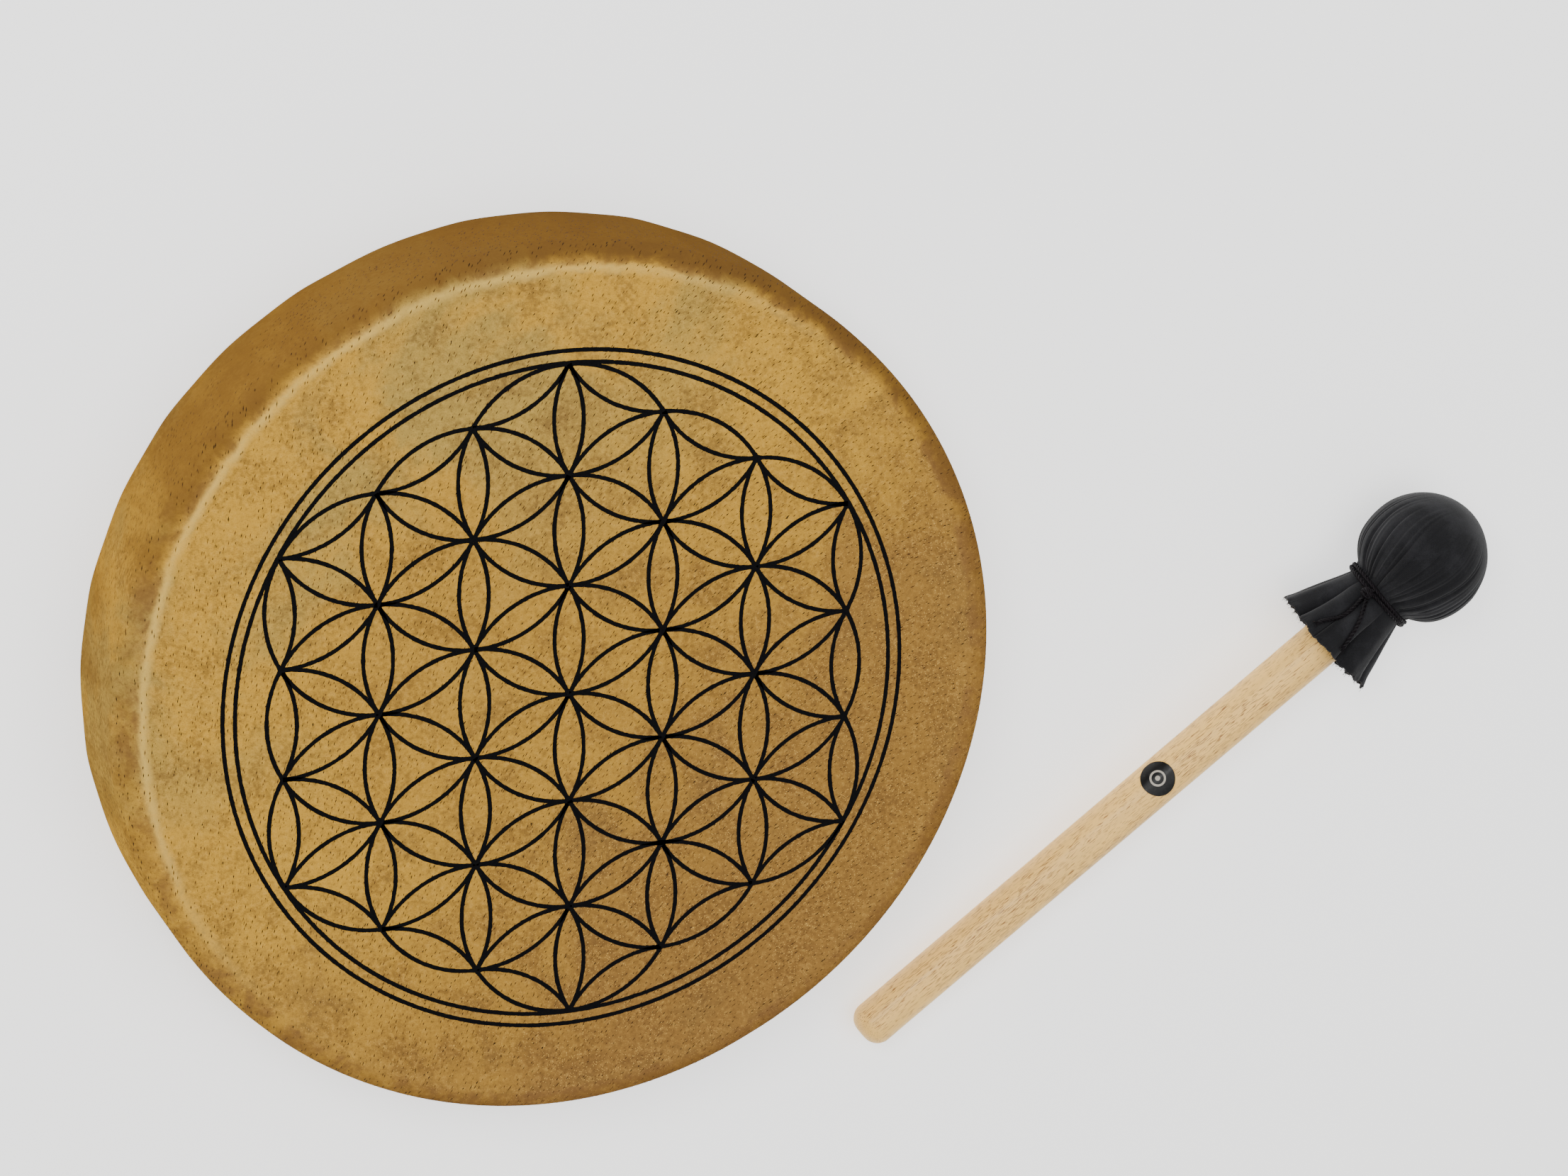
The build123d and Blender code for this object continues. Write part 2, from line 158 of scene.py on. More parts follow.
class FinishColours(bpy.types.PropertyGroup):
    """Base colours of the finishes."""

    skin: colour("Goatskin", "Amber of the skin", (0.53, 0.29, 0.036))
    skin_olive: colour("Goatskin, grey", "Greyer patches of the skin", (0.37, 0.25, 0.06))
    # Goatskin, brown: the browner parts of the skin, also used as the colour of painted shade.
    skin_brown: colour("Goatskin, brown", "Browner parts of the skin", (0.19, 0.095, 0.034))
    wall: colour("Goatskin, wall", "The skin down the drum's wall", (0.165, 0.080, 0.018))
    # Glints: the colour of the painted highlight specks, also used for the skin's pale grain mottle.
    glints: colour("Glints", "Tiny bright flecks in the skin", (0.82, 0.50, 0.12))
    # Crest: the colour of the painted highlight along the playing edge.
    crest: colour("Crest", "Where the skin is rubbed over the playing edge", (0.80, 0.53, 0.13))
    ink: colour("Ink", "The print", (0.0016, 0.0016, 0.0022))
    hoop: colour("Hoop wood", "The hoop's plies", (0.52, 0.33, 0.16))
    lace: colour("Rawhide", "The lace", (0.50, 0.33, 0.15))
    ring: colour("Ring leather", "The hand ring's cover", (0.10, 0.045, 0.02))
    handle: colour("Handle wood", "The beater's handle", (1.0, 0.61, 0.165))
    pores: colour("Handle pores", "Dark streaks in the handle", (0.27, 0.11, 0.03))
    cloth: colour("Cover cloth", "The beater's cover", (0.0135, 0.0135, 0.015))
    cord: colour("Tie cord", "The cover's tie", (0.007, 0.005, 0.0065))
    felt: colour("Padding", "Felt under the cover", (0.62, 0.56, 0.47))


class StudioSettings(bpy.types.PropertyGroup):
    """Camera, floor and lights."""

    camera_place: position("Camera", "Place of the camera", (-0.63728, 0.71329, 2.0099))
    camera_right: direction(
        "Picture's right", "Direction of the picture's right edge", (0.9365, 0.0128, 0.3505)
    )
    camera_back: direction(
        "Camera's back", "Direction that the camera looks away from", (-0.3371, 0.3091, 0.8893)
    )
    lens: bpy.props.FloatProperty(
        name="Lens",
        description="Focal length on a 36 mm sensor",
        default=113.6,
        subtype="DISTANCE_CAMERA",
    )
    floor: colour("Floor", "The studio floor", (0.86, 0.86, 0.85))


# ------------------------------------------------------------- mesh by hand
def deselect_all():
    bpy.ops.object.select_all(action="DESELECT")


def pick(piece):
    """Leaves this piece alone in the selection."""
    deselect_all()
    piece.select_set(True)
    bpy.context.view_layer.objects.active = piece


def piece_from(name, bm, outwards=False):
    """Turns a bmesh into an object at the origin, with its faces turned outwards if asked."""
    if outwards:
        bmesh.ops.recalc_face_normals(bm, faces=bm.faces)
    mesh = bpy.data.meshes.new(name)
    bm.to_mesh(mesh)
    bm.free()
    piece = bpy.data.objects.new(name, mesh)
    bpy.context.scene.collection.objects.link(piece)
    return piece


def thicken(piece, thickness):
    """Gives an open surface this thickness, on its inner side."""
    solidify = piece.modifiers.new("Thickness", "SOLIDIFY")
    solidify.thickness = thickness
    solidify.offset = -1
    solidify.use_quality_normals = True
    pick(piece)
    bpy.ops.object.modifier_apply(modifier=solidify.name)


def smooth(piece, angle):
    """Smooths the shading over edges blunter than this, in degrees."""
    pick(piece)
    bpy.ops.object.shade_smooth_by_angle(angle=math.radians(angle))


def polar(radius, angle, z):
    return Vector((radius * math.cos(angle), radius * math.sin(angle), z))


def route_points(points, steps=12):
    """Points along the smooth open spline that has these control points."""
    curve = bpy.data.curves.new("route", "CURVE")
    curve.dimensions = "3D"
    curve.resolution_u = steps
    spline = curve.splines.new("NURBS")
    spline.points.add(len(points) - 1)
    for target, point in zip(spline.points, points):
        target.co = (*point, 1)
    spline.order_u = 3
    spline.use_endpoint_u = True
    holder = bpy.data.objects.new("route", curve)
    bpy.context.scene.collection.objects.link(holder)
    bpy.context.view_layer.update()
    mesh = bpy.data.meshes.new_from_object(holder)
    line = [vertex.co.copy() for vertex in mesh.vertices]
    bpy.data.objects.remove(holder)
    bpy.data.curves.remove(curve)
    bpy.data.meshes.remove(mesh)
    return line


def even_points(line, spacing):
    """The same line, with its points this far apart."""
    lengths = [0.0]
    for a, b in zip(line, line[1:]):
        lengths.append(lengths[-1] + (b - a).length)
    count = max(2, round(lengths[-1] / spacing) + 1)
    result = []
    index = 0
    for step in range(count):
        wanted = lengths[-1] * step / (count - 1)
        while index < len(lengths) - 2 and lengths[index + 1] < wanted:
            index += 1
        span = lengths[index + 1] - lengths[index]
        share = 0 if span == 0 else (wanted - lengths[index]) / span
        result.append(line[index].lerp(line[index + 1], min(1, share)))
    return result


def frames_along(line, normal, closed=False):
    """Each point of a line with two directions across it and its distance from the start."""
    count = len(line)
    across = None
    along = 0.0
    for step, point in enumerate(line):
        before = line[step - 1] if step or closed else point
        after = line[(step + 1) % count] if step + 1 < count or closed else point
        tangent = (after - before).normalized()
        if across is None:
            across = normal.cross(tangent).normalized()
        across = (across - tangent * across.dot(tangent)).normalized()
        if step:
            along += (point - line[step - 1]).length
        yield point, across, tangent.cross(across), along


def join_rings(bm, rings, closed=False, capped=True):
    """Joins rings of points into a tube, closed on itself or capped at its ends."""
    pairs = list(zip(rings, rings[1:]))
    if closed:
        pairs.append((rings[-1], rings[0]))
    sides = len(rings[0])
    for low, high in pairs:
        for side in range(sides):
            after = (side + 1) % sides
            bm.faces.new((low[side], low[after], high[after], high[side]))
    if capped and not closed:
        bm.faces.new(rings[0][::-1])
        bm.faces.new(rings[-1])


def sweep(bm, line, section, normal):
    """Sweeps section(distance) along a line."""
    join_rings(
        bm,
        [
            [bm.verts.new(point + across * x + out * y) for x, y in section(along)]
            for point, across, out, along in frames_along(line, normal)
        ],
    )


# --------------------------------------------------------------- materials
class Value:
    """A number that a shader works out."""

    def __init__(self, paint, socket):
        self.paint = paint
        self.socket = socket

    def __add__(self, other):
        return self.paint.maths("ADD", self, other)

    def __radd__(self, other):
        return self.paint.maths("ADD", other, self)

    def __sub__(self, other):
        return self.paint.maths("SUBTRACT", self, other)

    def __rsub__(self, other):
        return self.paint.maths("SUBTRACT", other, self)

    def __mul__(self, other):
        return self.paint.maths("MULTIPLY", self, other)

    def __rmul__(self, other):
        return self.paint.maths("MULTIPLY", other, self)


class Paint:
    """A material under construction."""

    def __init__(self, name, rough=0.5, **constants):
        self.material = bpy.data.materials.new(name)
        self.material.use_nodes = True
        self.tree = self.material.node_tree
        self.shader = self.tree.nodes["Principled BSDF"]
        self.shader.inputs["Roughness"].default_value = rough
        for socket, value in constants.items():
            self.shader.inputs[socket.replace("_", " ")].default_value = value

    def node(self, kind, settings, *inputs, **named):
        made = self.tree.nodes.new(kind)
        for key, value in settings.items():
            setattr(made, key, value)
        for socket, value in list(zip(made.inputs, inputs)) + [
            (made.inputs[key.replace("_", " ")], value) for key, value in named.items()
        ]:
            if isinstance(value, Value):
                self.tree.links.new(value.socket, socket)
            else:
                socket.default_value = value
        return made

    def number(self, kind, settings, *inputs, **named):
        return Value(self, self.node(kind, settings, *inputs, **named).outputs[0])

    def place(self):
        return Value(self, self.node("ShaderNodeTexCoord", {}).outputs["Object"])

    def parts(self, vector):
        made = self.node("ShaderNodeSeparateXYZ", {}, vector)
        return [Value(self, output) for output in made.outputs]

    def joined(self, x, y, z):
        return self.number("ShaderNodeCombineXYZ", {}, x, y, z)

    def noise(self, vector, scale, detail=2.0, rough=0.5, warp=0.0):
        return self.number(
            "ShaderNodeTexNoise", {}, Vector=vector, Scale=scale, Detail=detail, Roughness=rough,
            Distortion=warp,
        )

    def cells(self, vector, scale, feature="F1"):
        return self.number(
            "ShaderNodeTexVoronoi", {"feature": feature}, Vector=vector, Scale=scale
        )

    def ramp(self, value, low, high, to_low=0.0, to_high=1.0):
        return self.number(
            "ShaderNodeMapRange", {"interpolation_type": "SMOOTHSTEP"}, Value=value,
            From_Min=low, From_Max=high, To_Min=to_low, To_Max=to_high,
        )

    def maths(self, kind, *terms):
        return self.number("ShaderNodeMath", {"operation": kind}, *terms)

    def mix(self, share, first, second):
        made = self.tree.nodes.new("ShaderNodeMix")
        made.data_type = "RGBA"
        made.clamp_factor = True
        for index, value in ((0, share), (6, first), (7, second)):
            if isinstance(value, Value):
                self.tree.links.new(value.socket, made.inputs[index])
            elif index:
                made.inputs[index].default_value = (*value[:3], 1)
            else:
                made.inputs[index].default_value = value
        return Value(self, made.outputs[2])

    def set(self, socket, value):
        self.tree.links.new(value.socket, self.shader.inputs[socket])

    def bump(self, height, distance, strength):
        return self.number(
            "ShaderNodeBump", {}, Strength=strength, Distance=distance, Height=height
        )


def times(shade, factor):
    """A lighter or darker version of a colour."""
    return tuple(part * factor for part in shade)


def dress(piece, material):
    """Gives a piece, or a CAD node's slots, this material."""
    if not piece.material_slots:
        piece.data.materials.append(material)
    for slot in piece.material_slots:
        slot.material = material


# --------------------------------------------------------- finish materials
def wood_paint(name, base, dark, lengthwise, rough=0.55, pores=None):
    """Plain timber whose grain runs along the third coordinate of lengthwise(paint)."""
    paint = Paint(name, rough=rough, Specular_IOR_Level=0.35)
    x, y, z = lengthwise(paint)
    broad = paint.noise(paint.joined(x * 130.0, y * 130.0, z * 9.0), 1.0, 3.0, 0.6, 0.6)
    fine = paint.noise(paint.joined(x * 900.0, y * 900.0, z * 28.0), 1.0, 3.0, 0.65)
    tone = paint.mix(paint.ramp(broad, 0.35, 0.68), dark, base)
    tone = paint.mix(paint.ramp(fine, 0.36, 0.62) * 0.55 + 0.45, dark, tone)
    height = fine * 0.6
    if pores is not None:
        streak = paint.noise(paint.joined(x * 3800.0, y * 3800.0, z * 250.0), 1.0, 1.0, 0.4)
        patch = paint.noise(paint.joined(x * 60.0, y * 60.0, z * 14.0), 1.0, 2.0)
        mark = paint.ramp(streak + patch * 0.22, 0.71, 0.76)
        tone = paint.mix(mark * 0.95, tone, pores)
        height = height - mark
    paint.set("Base Color", tone)
    paint.set("Roughness", paint.ramp(fine, 0.3, 0.7, rough - 0.08, rough + 0.12))
    paint.set("Normal", paint.bump(height, 0.0002, 0.5))
    return paint.material


def hoop_grain(joint_angle):
    """Grain round the drum, broken where the ply's two ends meet."""

    def lengthwise(paint):
        x, y, z = paint.parts(paint.place())
        turn = math.radians(joint_angle) + math.pi
        cos, sin = math.cos(turn), math.sin(turn)
        ahead = x * cos + y * sin
        side = y * cos - x * sin
        angle = paint.maths("ARCTAN2", side, ahead)
        radius = paint.maths("SQRT", x * x + y * y)
        return radius * 2.0, z, angle * 0.195

    return lengthwise


def beater_grain(paint):
    along, side, up = beater_axes()
    place = paint.place()
    return [dot(paint, place, axis) for axis in (side, up, along)]


def dot(paint, vector, axis):
    made = paint.node("ShaderNodeVectorMath", {"operation": "DOT_PRODUCT"}, vector, tuple(axis))
    return Value(paint, made.outputs["Value"])


def beater_axes():
    sizes = bpy.context.scene.drum_beater
    heading, tilt = sizes.heading, sizes.tilt
    along = Vector(
        (
            math.cos(heading) * math.cos(tilt),
            math.sin(heading) * math.cos(tilt),
            math.sin(tilt),
        )
    )
    side = along.cross(Vector((0, 0, 1))).normalized()
    return along, side, side.cross(along)


def on_beater(along_it, turn, radius):
    along, side, up = beater_axes()
    butt = Vector(bpy.context.scene.drum_beater.butt)
    return butt + along * along_it + (side * math.cos(turn) + up * math.sin(turn)) * radius


def goatskin_paint():
    """Scraped, oiled goatskin: mottled amber, browner to one side partly through painted shade, with a
    painted highlight along the playing edge, painted shade on the wall and tiny painted glints.
    """
    finish = bpy.context.scene.drum_finish
    paint = Paint("goatskin", rough=0.5, Specular_IOR_Level=0.0, Coat_Roughness=0.45)
    place = paint.place()
    x, y, z = paint.parts(place)
    radius = paint.maths("SQRT", x * x + y * y)
    cloud = paint.noise(place, 13.0, 5.0, 0.6, 0.5)
    blotch = paint.noise(place, 52.0, 6.0, 0.68, 0.5)
    grain = paint.noise(place, 420.0, 5.0, 0.68)
    fine = paint.noise(place, 1500.0, 2.0, 0.6)
    speck = paint.cells(place, 1000.0)
    patch = paint.noise(place, 26.0, 4.0, 0.62, 0.4)
    dark = times(finish.skin_brown, 0.5)
    # Browner towards the lower right: partly the skin's own tone, partly painted shade on the side away
    # from the key light.
    lean = x * 0.76 - y * 0.65
    brown = paint.ramp(lean + (cloud - 0.5) * 0.26 + (blotch - 0.5) * 0.12, -0.035, 0.14)
    middle = paint.ramp(radius + (cloud - 0.5) * 0.20, 0.05, 0.15)
    grey = paint.ramp(cloud, 0.44, 0.60) * paint.ramp(y - x * 0.7, 0.0, 0.17)
    tone = paint.mix(grey * 0.85, finish.skin, finish.skin_olive)
    tone = paint.mix((1.0 - middle) * 0.24, tone, finish.skin_brown)
    tone = paint.mix(brown * 0.70, tone, finish.skin_brown)
    # Painted shade: browner towards the bottom of the head, away from the key light.
    tone = paint.mix(paint.ramp(y + (cloud - 0.5) * 0.10, -0.06, -0.17) * 0.32, tone, finish.skin_brown)
    tone = paint.mix(paint.ramp(blotch, 0.42, 0.68) * 0.24, tone, finish.skin_brown)
    tone = paint.mix(paint.ramp(grain + (blotch - 0.5) * 0.5, 0.44, 0.70) * 0.46, tone, dark)
    tone = paint.mix(paint.ramp(grain, 0.48, 0.34) * 0.15, tone, finish.glints)
    stained = paint.ramp(patch + (grain - 0.5) * 0.3, 0.52, 0.72)
    tone = paint.mix(stained * 0.36, tone, (0.19, 0.11, 0.035))
    tone = paint.mix(paint.ramp(fine, 0.50, 0.72) * 0.36, tone, dark)
    # Painted highlight: tiny bright glints laid into the colour as specks, more of them in the browner
    # part.
    glint = paint.ramp(speck, 0.26, 0.13) * paint.ramp(blotch + fine * 0.5, 0.60, 0.80)
    tone = paint.mix(glint * (brown * 0.50 + 0.16), tone, finish.glints)
    front = paint.ramp(z, DEPTH - 12 * MM, DEPTH - 5 * MM)
    crest = radius + (blotch - 0.5) * 6 * MM
    inside = paint.ramp(crest, HEAD_RADIUS - 15 * MM, HEAD_RADIUS - 10.5 * MM)
    outside = paint.ramp(crest, HEAD_RADIUS - 10.5 * MM, HEAD_RADIUS - 7.0 * MM)
    # Painted highlight: a pale band along the playing edge, strongest on the upper-left side that faces
    # the key light.
    lit = paint.ramp(y - x, -0.02, 0.20)
    streaky = paint.ramp(grain * 0.5 + blotch * 0.5, 0.38, 0.60, 0.45, 1.0)
    highlit = inside * (1.0 - outside) * front * (lit * 0.60 + 0.03) * streaky
    tone = paint.mix(highlit, tone, finish.crest)
    scuffed = outside * paint.ramp(radius, HEAD_RADIUS + 4 * MM, HEAD_RADIUS - 2 * MM) * front
    tone = paint.mix(scuffed * paint.ramp(blotch, 0.36, 0.62) * 0.62, tone, finish.skin_brown)
    streak = paint.noise(paint.joined(x * 30.0, y * 30.0, z * 9.0), 1.0, 4.0, 0.6, 0.6)
    wall = paint.ramp(crest, HEAD_RADIUS - 10 * MM, HEAD_RADIUS - 3 * MM)
    shaded = paint.ramp(y + (streak - 0.5) * 0.12, -0.02, 0.18)
    tone = paint.mix(wall * (shaded * 0.72 + 0.14), tone, finish.wall)
    tone = paint.mix(wall * paint.ramp(streak, 0.42, 0.66) * 0.5, tone, finish.wall)
    # Painted shade: the wall darker towards the top, away from the upper-left key light.
    tone = paint.mix(wall * paint.ramp(y + x * 0.5, 0.13, 0.21) * 0.45, tone, dark)
    paint.set("Base Color", tone)
    paint.set("Coat Weight", (1.0 - wall) * 0.05)
    relief = grain * 0.7 + blotch * 2.0 + fine * 0.3
    paint.set("Normal", paint.bump(relief, 0.00022, 0.55))
    return paint.material


def ink_paint():
    finish = bpy.context.scene.drum_finish
    paint = Paint("black_ink", rough=0.8, Specular_IOR_Level=0.08)
    place = paint.place()
    worn = paint.noise(place, 900.0, 3.0, 0.6)
    paint.set("Base Color", paint.mix(paint.ramp(worn, 0.66, 0.82), finish.ink, (0.03, 0.018, 0.006)))
    paint.set("Roughness", paint.ramp(worn, 0.3, 0.7, 0.72, 0.9))
    paint.set("Normal", paint.bump(worn, 0.0001, 0.6))
    return paint.material


def hair_paint():
    paint = Paint("hair_stubs", rough=0.8, Specular_IOR_Level=0.1)
    tint = paint.noise(paint.place(), 260.0, 1.0)
    darkest, palest = (0.022, 0.010, 0.003), (0.10, 0.045, 0.012)
    paint.set("Base Color", paint.mix(paint.ramp(tint, 0.35, 0.65), darkest, palest))
    return paint.material


def rawhide_paint(name, base, dark, shine=0.4):
    """Twisted hide or cord, with fine fibres."""
    paint = Paint(name, rough=0.5, Specular_IOR_Level=shine)
    place = paint.place()
    fibre = paint.noise(place, 700.0, 3.0, 0.65, 0.6)
    cloud = paint.noise(place, 70.0, 3.0, 0.6)
    tone = paint.mix(paint.ramp(cloud, 0.35, 0.68) * 0.7, base, dark)
    tone = paint.mix(paint.ramp(fibre, 0.4, 0.68) * 0.6, tone, dark)
    paint.set("Base Color", tone)
    paint.set("Roughness", paint.ramp(fibre, 0.3, 0.7, 0.40, 0.68))
    paint.set("Normal", paint.bump(fibre + cloud * 0.8, 0.0003, 0.7))
    return paint.material


def leather_paint(name, base):
    paint = Paint(name, rough=0.48)
    place = paint.place()
    pebble = paint.cells(place, 900.0, "SMOOTH_F1")
    crease = paint.cells(paint.joined(*[p + (paint.noise(place, 300.0) - 0.5) * 0.002
                                        for p in paint.parts(place)]), 420.0, "DISTANCE_TO_EDGE")
    wear = paint.noise(place, 90.0, 4.0, 0.6)
    tone = paint.mix(paint.ramp(wear, 0.45, 0.72) * 0.7, base, times(base, 2.6))
    # Painted shade: the leather darker along its creases.
    tone = paint.mix(paint.ramp(crease, 0.12, 0.0) * 0.7, tone, times(base, 0.35))
    paint.set("Base Color", tone)
    paint.set("Roughness", paint.ramp(wear, 0.3, 0.7, 0.55, 0.36))
    paint.set("Normal", paint.bump(pebble * 0.6 + paint.ramp(crease, 0.0, 0.15), 0.0002, 0.7))
    return paint.material


def steel_paint():
    paint = Paint("ring_steel", rough=0.3, Metallic=1.0)
    place = paint.place()
    stain = paint.noise(place, 160.0, 4.0, 0.6)
    bright, tarnished = (0.55, 0.55, 0.56), (0.24, 0.22, 0.20)
    paint.set("Base Color", paint.mix(paint.ramp(stain, 0.4, 0.7), bright, tarnished))
    paint.set("Roughness", paint.ramp(stain, 0.3, 0.7, 0.24, 0.5))
    return paint.material


def cloth_paint():
    """Black jersey, woven on the cover's own coordinates."""
    finish = bpy.context.scene.drum_finish
    paint = Paint("cover_cloth", rough=0.92, Specular_IOR_Level=0.1, Sheen_Weight=0.1,
                  Sheen_Roughness=0.5)
    route = Value(paint, paint.node("ShaderNodeUVMap", {"uv_map": "weave"}).outputs[0])
    across, along, _ = paint.parts(route)
    wave = paint.maths("SINE", across * 6.2832)
    rows = paint.maths("SINE", along * 6.2832 + wave * 0.9)
    knit = (wave * rows) * 0.5 + 0.5
    place = paint.place()
    fuzz = paint.noise(place, 1400.0, 3.0, 0.7)
    fade = paint.noise(place, 60.0, 3.0, 0.6)
    dark = times(finish.cloth, 0.45)
    light = times(finish.cloth, 1.7)
    tone = paint.mix(paint.ramp(knit * 0.6 + fuzz * 0.5, 0.3, 0.8), dark, finish.cloth)
    tone = paint.mix(paint.ramp(fade + fuzz * 0.3, 0.55, 0.85) * 0.6, tone, light)
    paint.set("Base Color", tone)
    paint.set("Normal", paint.bump(knit * 0.3 + fuzz, 0.0002, 0.45))
    return paint.material


def felt_paint():
    finish = bpy.context.scene.drum_finish
    paint = Paint("padding_fleece", rough=0.95, Sheen_Weight=0.3)
    place = paint.place()
    fibre = paint.noise(place, 500.0, 4.0, 0.7, 1.2)
    tone = paint.mix(paint.ramp(fibre, 0.35, 0.65), times(finish.felt, 0.7), finish.felt)
    paint.set("Base Color", tone)
    paint.set("Normal", paint.bump(fibre, 0.0008, 0.8))
    return paint.material


def badge_paint():
    """A plain black disc with a pale circle and a dot."""
    sizes = bpy.context.scene.drum_beater
    paint = Paint("badge", rough=0.5, Specular_IOR_Level=0.2)
    along, side, up = beater_axes()
    outwards = (side * math.cos(sizes.badge_turn) + up * math.sin(sizes.badge_turn)).normalized()
    centre = on_beater(sizes.badge_at, sizes.badge_turn, 10.8 * MM)
    place = paint.place()
    ahead = dot(paint, place, along) - along.dot(centre)
    across_axis = outwards.cross(along)
    across = dot(paint, place, across_axis) - across_axis.dot(centre)
    radius = paint.maths("SQRT", ahead * ahead + across * across)
    ring = paint.ramp(paint.maths("ABSOLUTE", radius - 3.4 * MM), 0.55 * MM, 0.40 * MM)
    dot_mark = paint.ramp(radius, 1.3 * MM, 1.1 * MM)
    scuff = paint.noise(place, 500.0, 3.0, 0.6)
    mark = paint.maths("MAXIMUM", ring, dot_mark)
    base = paint.mix(paint.ramp(scuff, 0.5, 0.75), (0.004, 0.004, 0.004), (0.015, 0.015, 0.014))
    paint.set("Base Color", paint.mix(mark * 0.7, base, (0.55, 0.50, 0.42)))
    paint.set("Roughness", paint.ramp(scuff, 0.3, 0.7, 0.28, 0.5))
    return paint.material


def floor_paint():
    settings = bpy.context.scene.drum_studio
    paint = Paint("studio_floor", rough=0.9, Specular_IOR_Level=0.1, Emission_Strength=1.0)
    paint.shader.inputs["Emission Color"].default_value = (1, 1, 1, 1)
    speck = paint.noise(paint.place(), 3.0, 2.0)
    base = tuple(settings.floor)
    paint.set("Base Color", paint.mix(speck * 0.2, base, times(base, 0.985)))
    return paint.material


# ------------------------------------------------------------------ pieces
def make_camera():
    settings = bpy.context.scene.drum_studio
    right = Vector(settings.camera_right).normalized()
    back = Vector(settings.camera_back).normalized()
    up = back.cross(right).normalized()
    right = up.cross(back)
    data = bpy.data.cameras.new("studio_camera")
    data.sensor_width = 36
    data.lens = settings.lens
    data.clip_start = 0.01
    camera = bpy.data.objects.new("studio_camera", data)
    bpy.context.scene.collection.objects.link(camera)
    turn = Matrix((right, up, back)).transposed().to_4x4()
    camera.matrix_world = Matrix.Translation(Vector(settings.camera_place)) @ turn
    bpy.context.scene.camera = camera


def make_light(name, place, aim, size, power):
    data = bpy.data.lights.new(name, "AREA")
    data.shape = "DISK"
    data.size = size
    data.energy = power
    light = bpy.data.objects.new(name, data)
    bpy.context.scene.collection.objects.link(light)
    light.location = place
    light.rotation_euler = (Vector(aim) - Vector(place)).to_track_quat("-Z", "Y").to_euler()


def corner_share(angle):
    """How near a slit's corner this angle is, and that corner's own height."""
    sizes = bpy.context.scene.drum_sizes
    step = math.tau / sizes.slit_count
    turns = (angle - sizes.lacing_turn - step / 2) / step
    nearest = round(turns)
    off = abs(turns - nearest) * 2
    lift = 0.3 + 1.1 * random.Random(nearest % sizes.slit_count + 40).random()
    return 0.3 * (1 - off) ** 1.5 + 0.35 * (1 + math.cos(math.pi * off)), lift


def swell(angle, z):
    """How far the skin stands out from a true round at this angle and height."""
    sizes = bpy.context.scene.drum_sizes
    near, lift = corner_share(angle)
    low = ease(DEPTH - 3 * MM - z, 0, DEPTH)
    ragged = noise.noise(Vector((math.cos(angle) * 6, math.sin(angle) * 6, z * 30))) + 0.4
    wide = max(0.0, 0.25 + 0.75 * math.cos(2 * angle + 0.3))
    corner = sizes.corner_height * lift * near * low
    return corner + 0.25 * MM * low * ragged + sizes.out_of_round * wide


def crest_rise(radius):
    """The low bead that the skin makes over the hoop's playing edge."""
    return 0.45 * MM * math.exp(-(((radius - HEAD_RADIUS + 11 * MM) / (4 * MM)) ** 2))


def skin_profile():
    """The skin's outside from the middle of the head to its cut edge: radius and height."""
    sizes = bpy.context.scene.drum_sizes
    front, back = sizes.front_round, sizes.back_round
    flat = HEAD_RADIUS - front
    shares = (0.18, 0.34, 0.5, 0.64, 0.76, 0.86, 0.92, 0.945, 0.96, 0.97, 0.98, 0.99, 1)
    line = [(flat * share, DEPTH) for share in shares]
    for step in range(1, 9):
        turn = math.pi / 2 * (1 - step / 8)
        line.append((flat + front * math.cos(turn), DEPTH - front + front * math.sin(turn)))
    for share in (0.12, 0.25, 0.38, 0.5, 0.62, 0.74, 0.86, 0.94, 1):
        line.append((HEAD_RADIUS, (DEPTH - front) * (1 - share) + back * share))
    for step in range(1, 6):
        turn = -math.pi / 2 * step / 5
        line.append((HEAD_RADIUS - back + back * math.cos(turn), back + back * math.sin(turn)))
    land = HEAD_RADIUS - back - sizes.back_land
    line += [(land + sizes.back_land / 2, 0.0), (land, 0.0)]
    rows = 22
    for step in range(1, rows + 1):
        share = step / rows
        line.append((land - sizes.margin * share, sizes.margin_rise * share))
    return line


def ease(value, low, high):
    share = min(1, max(0, (value - low) / (high - low)))
    return share * share * (3 - 2 * share)


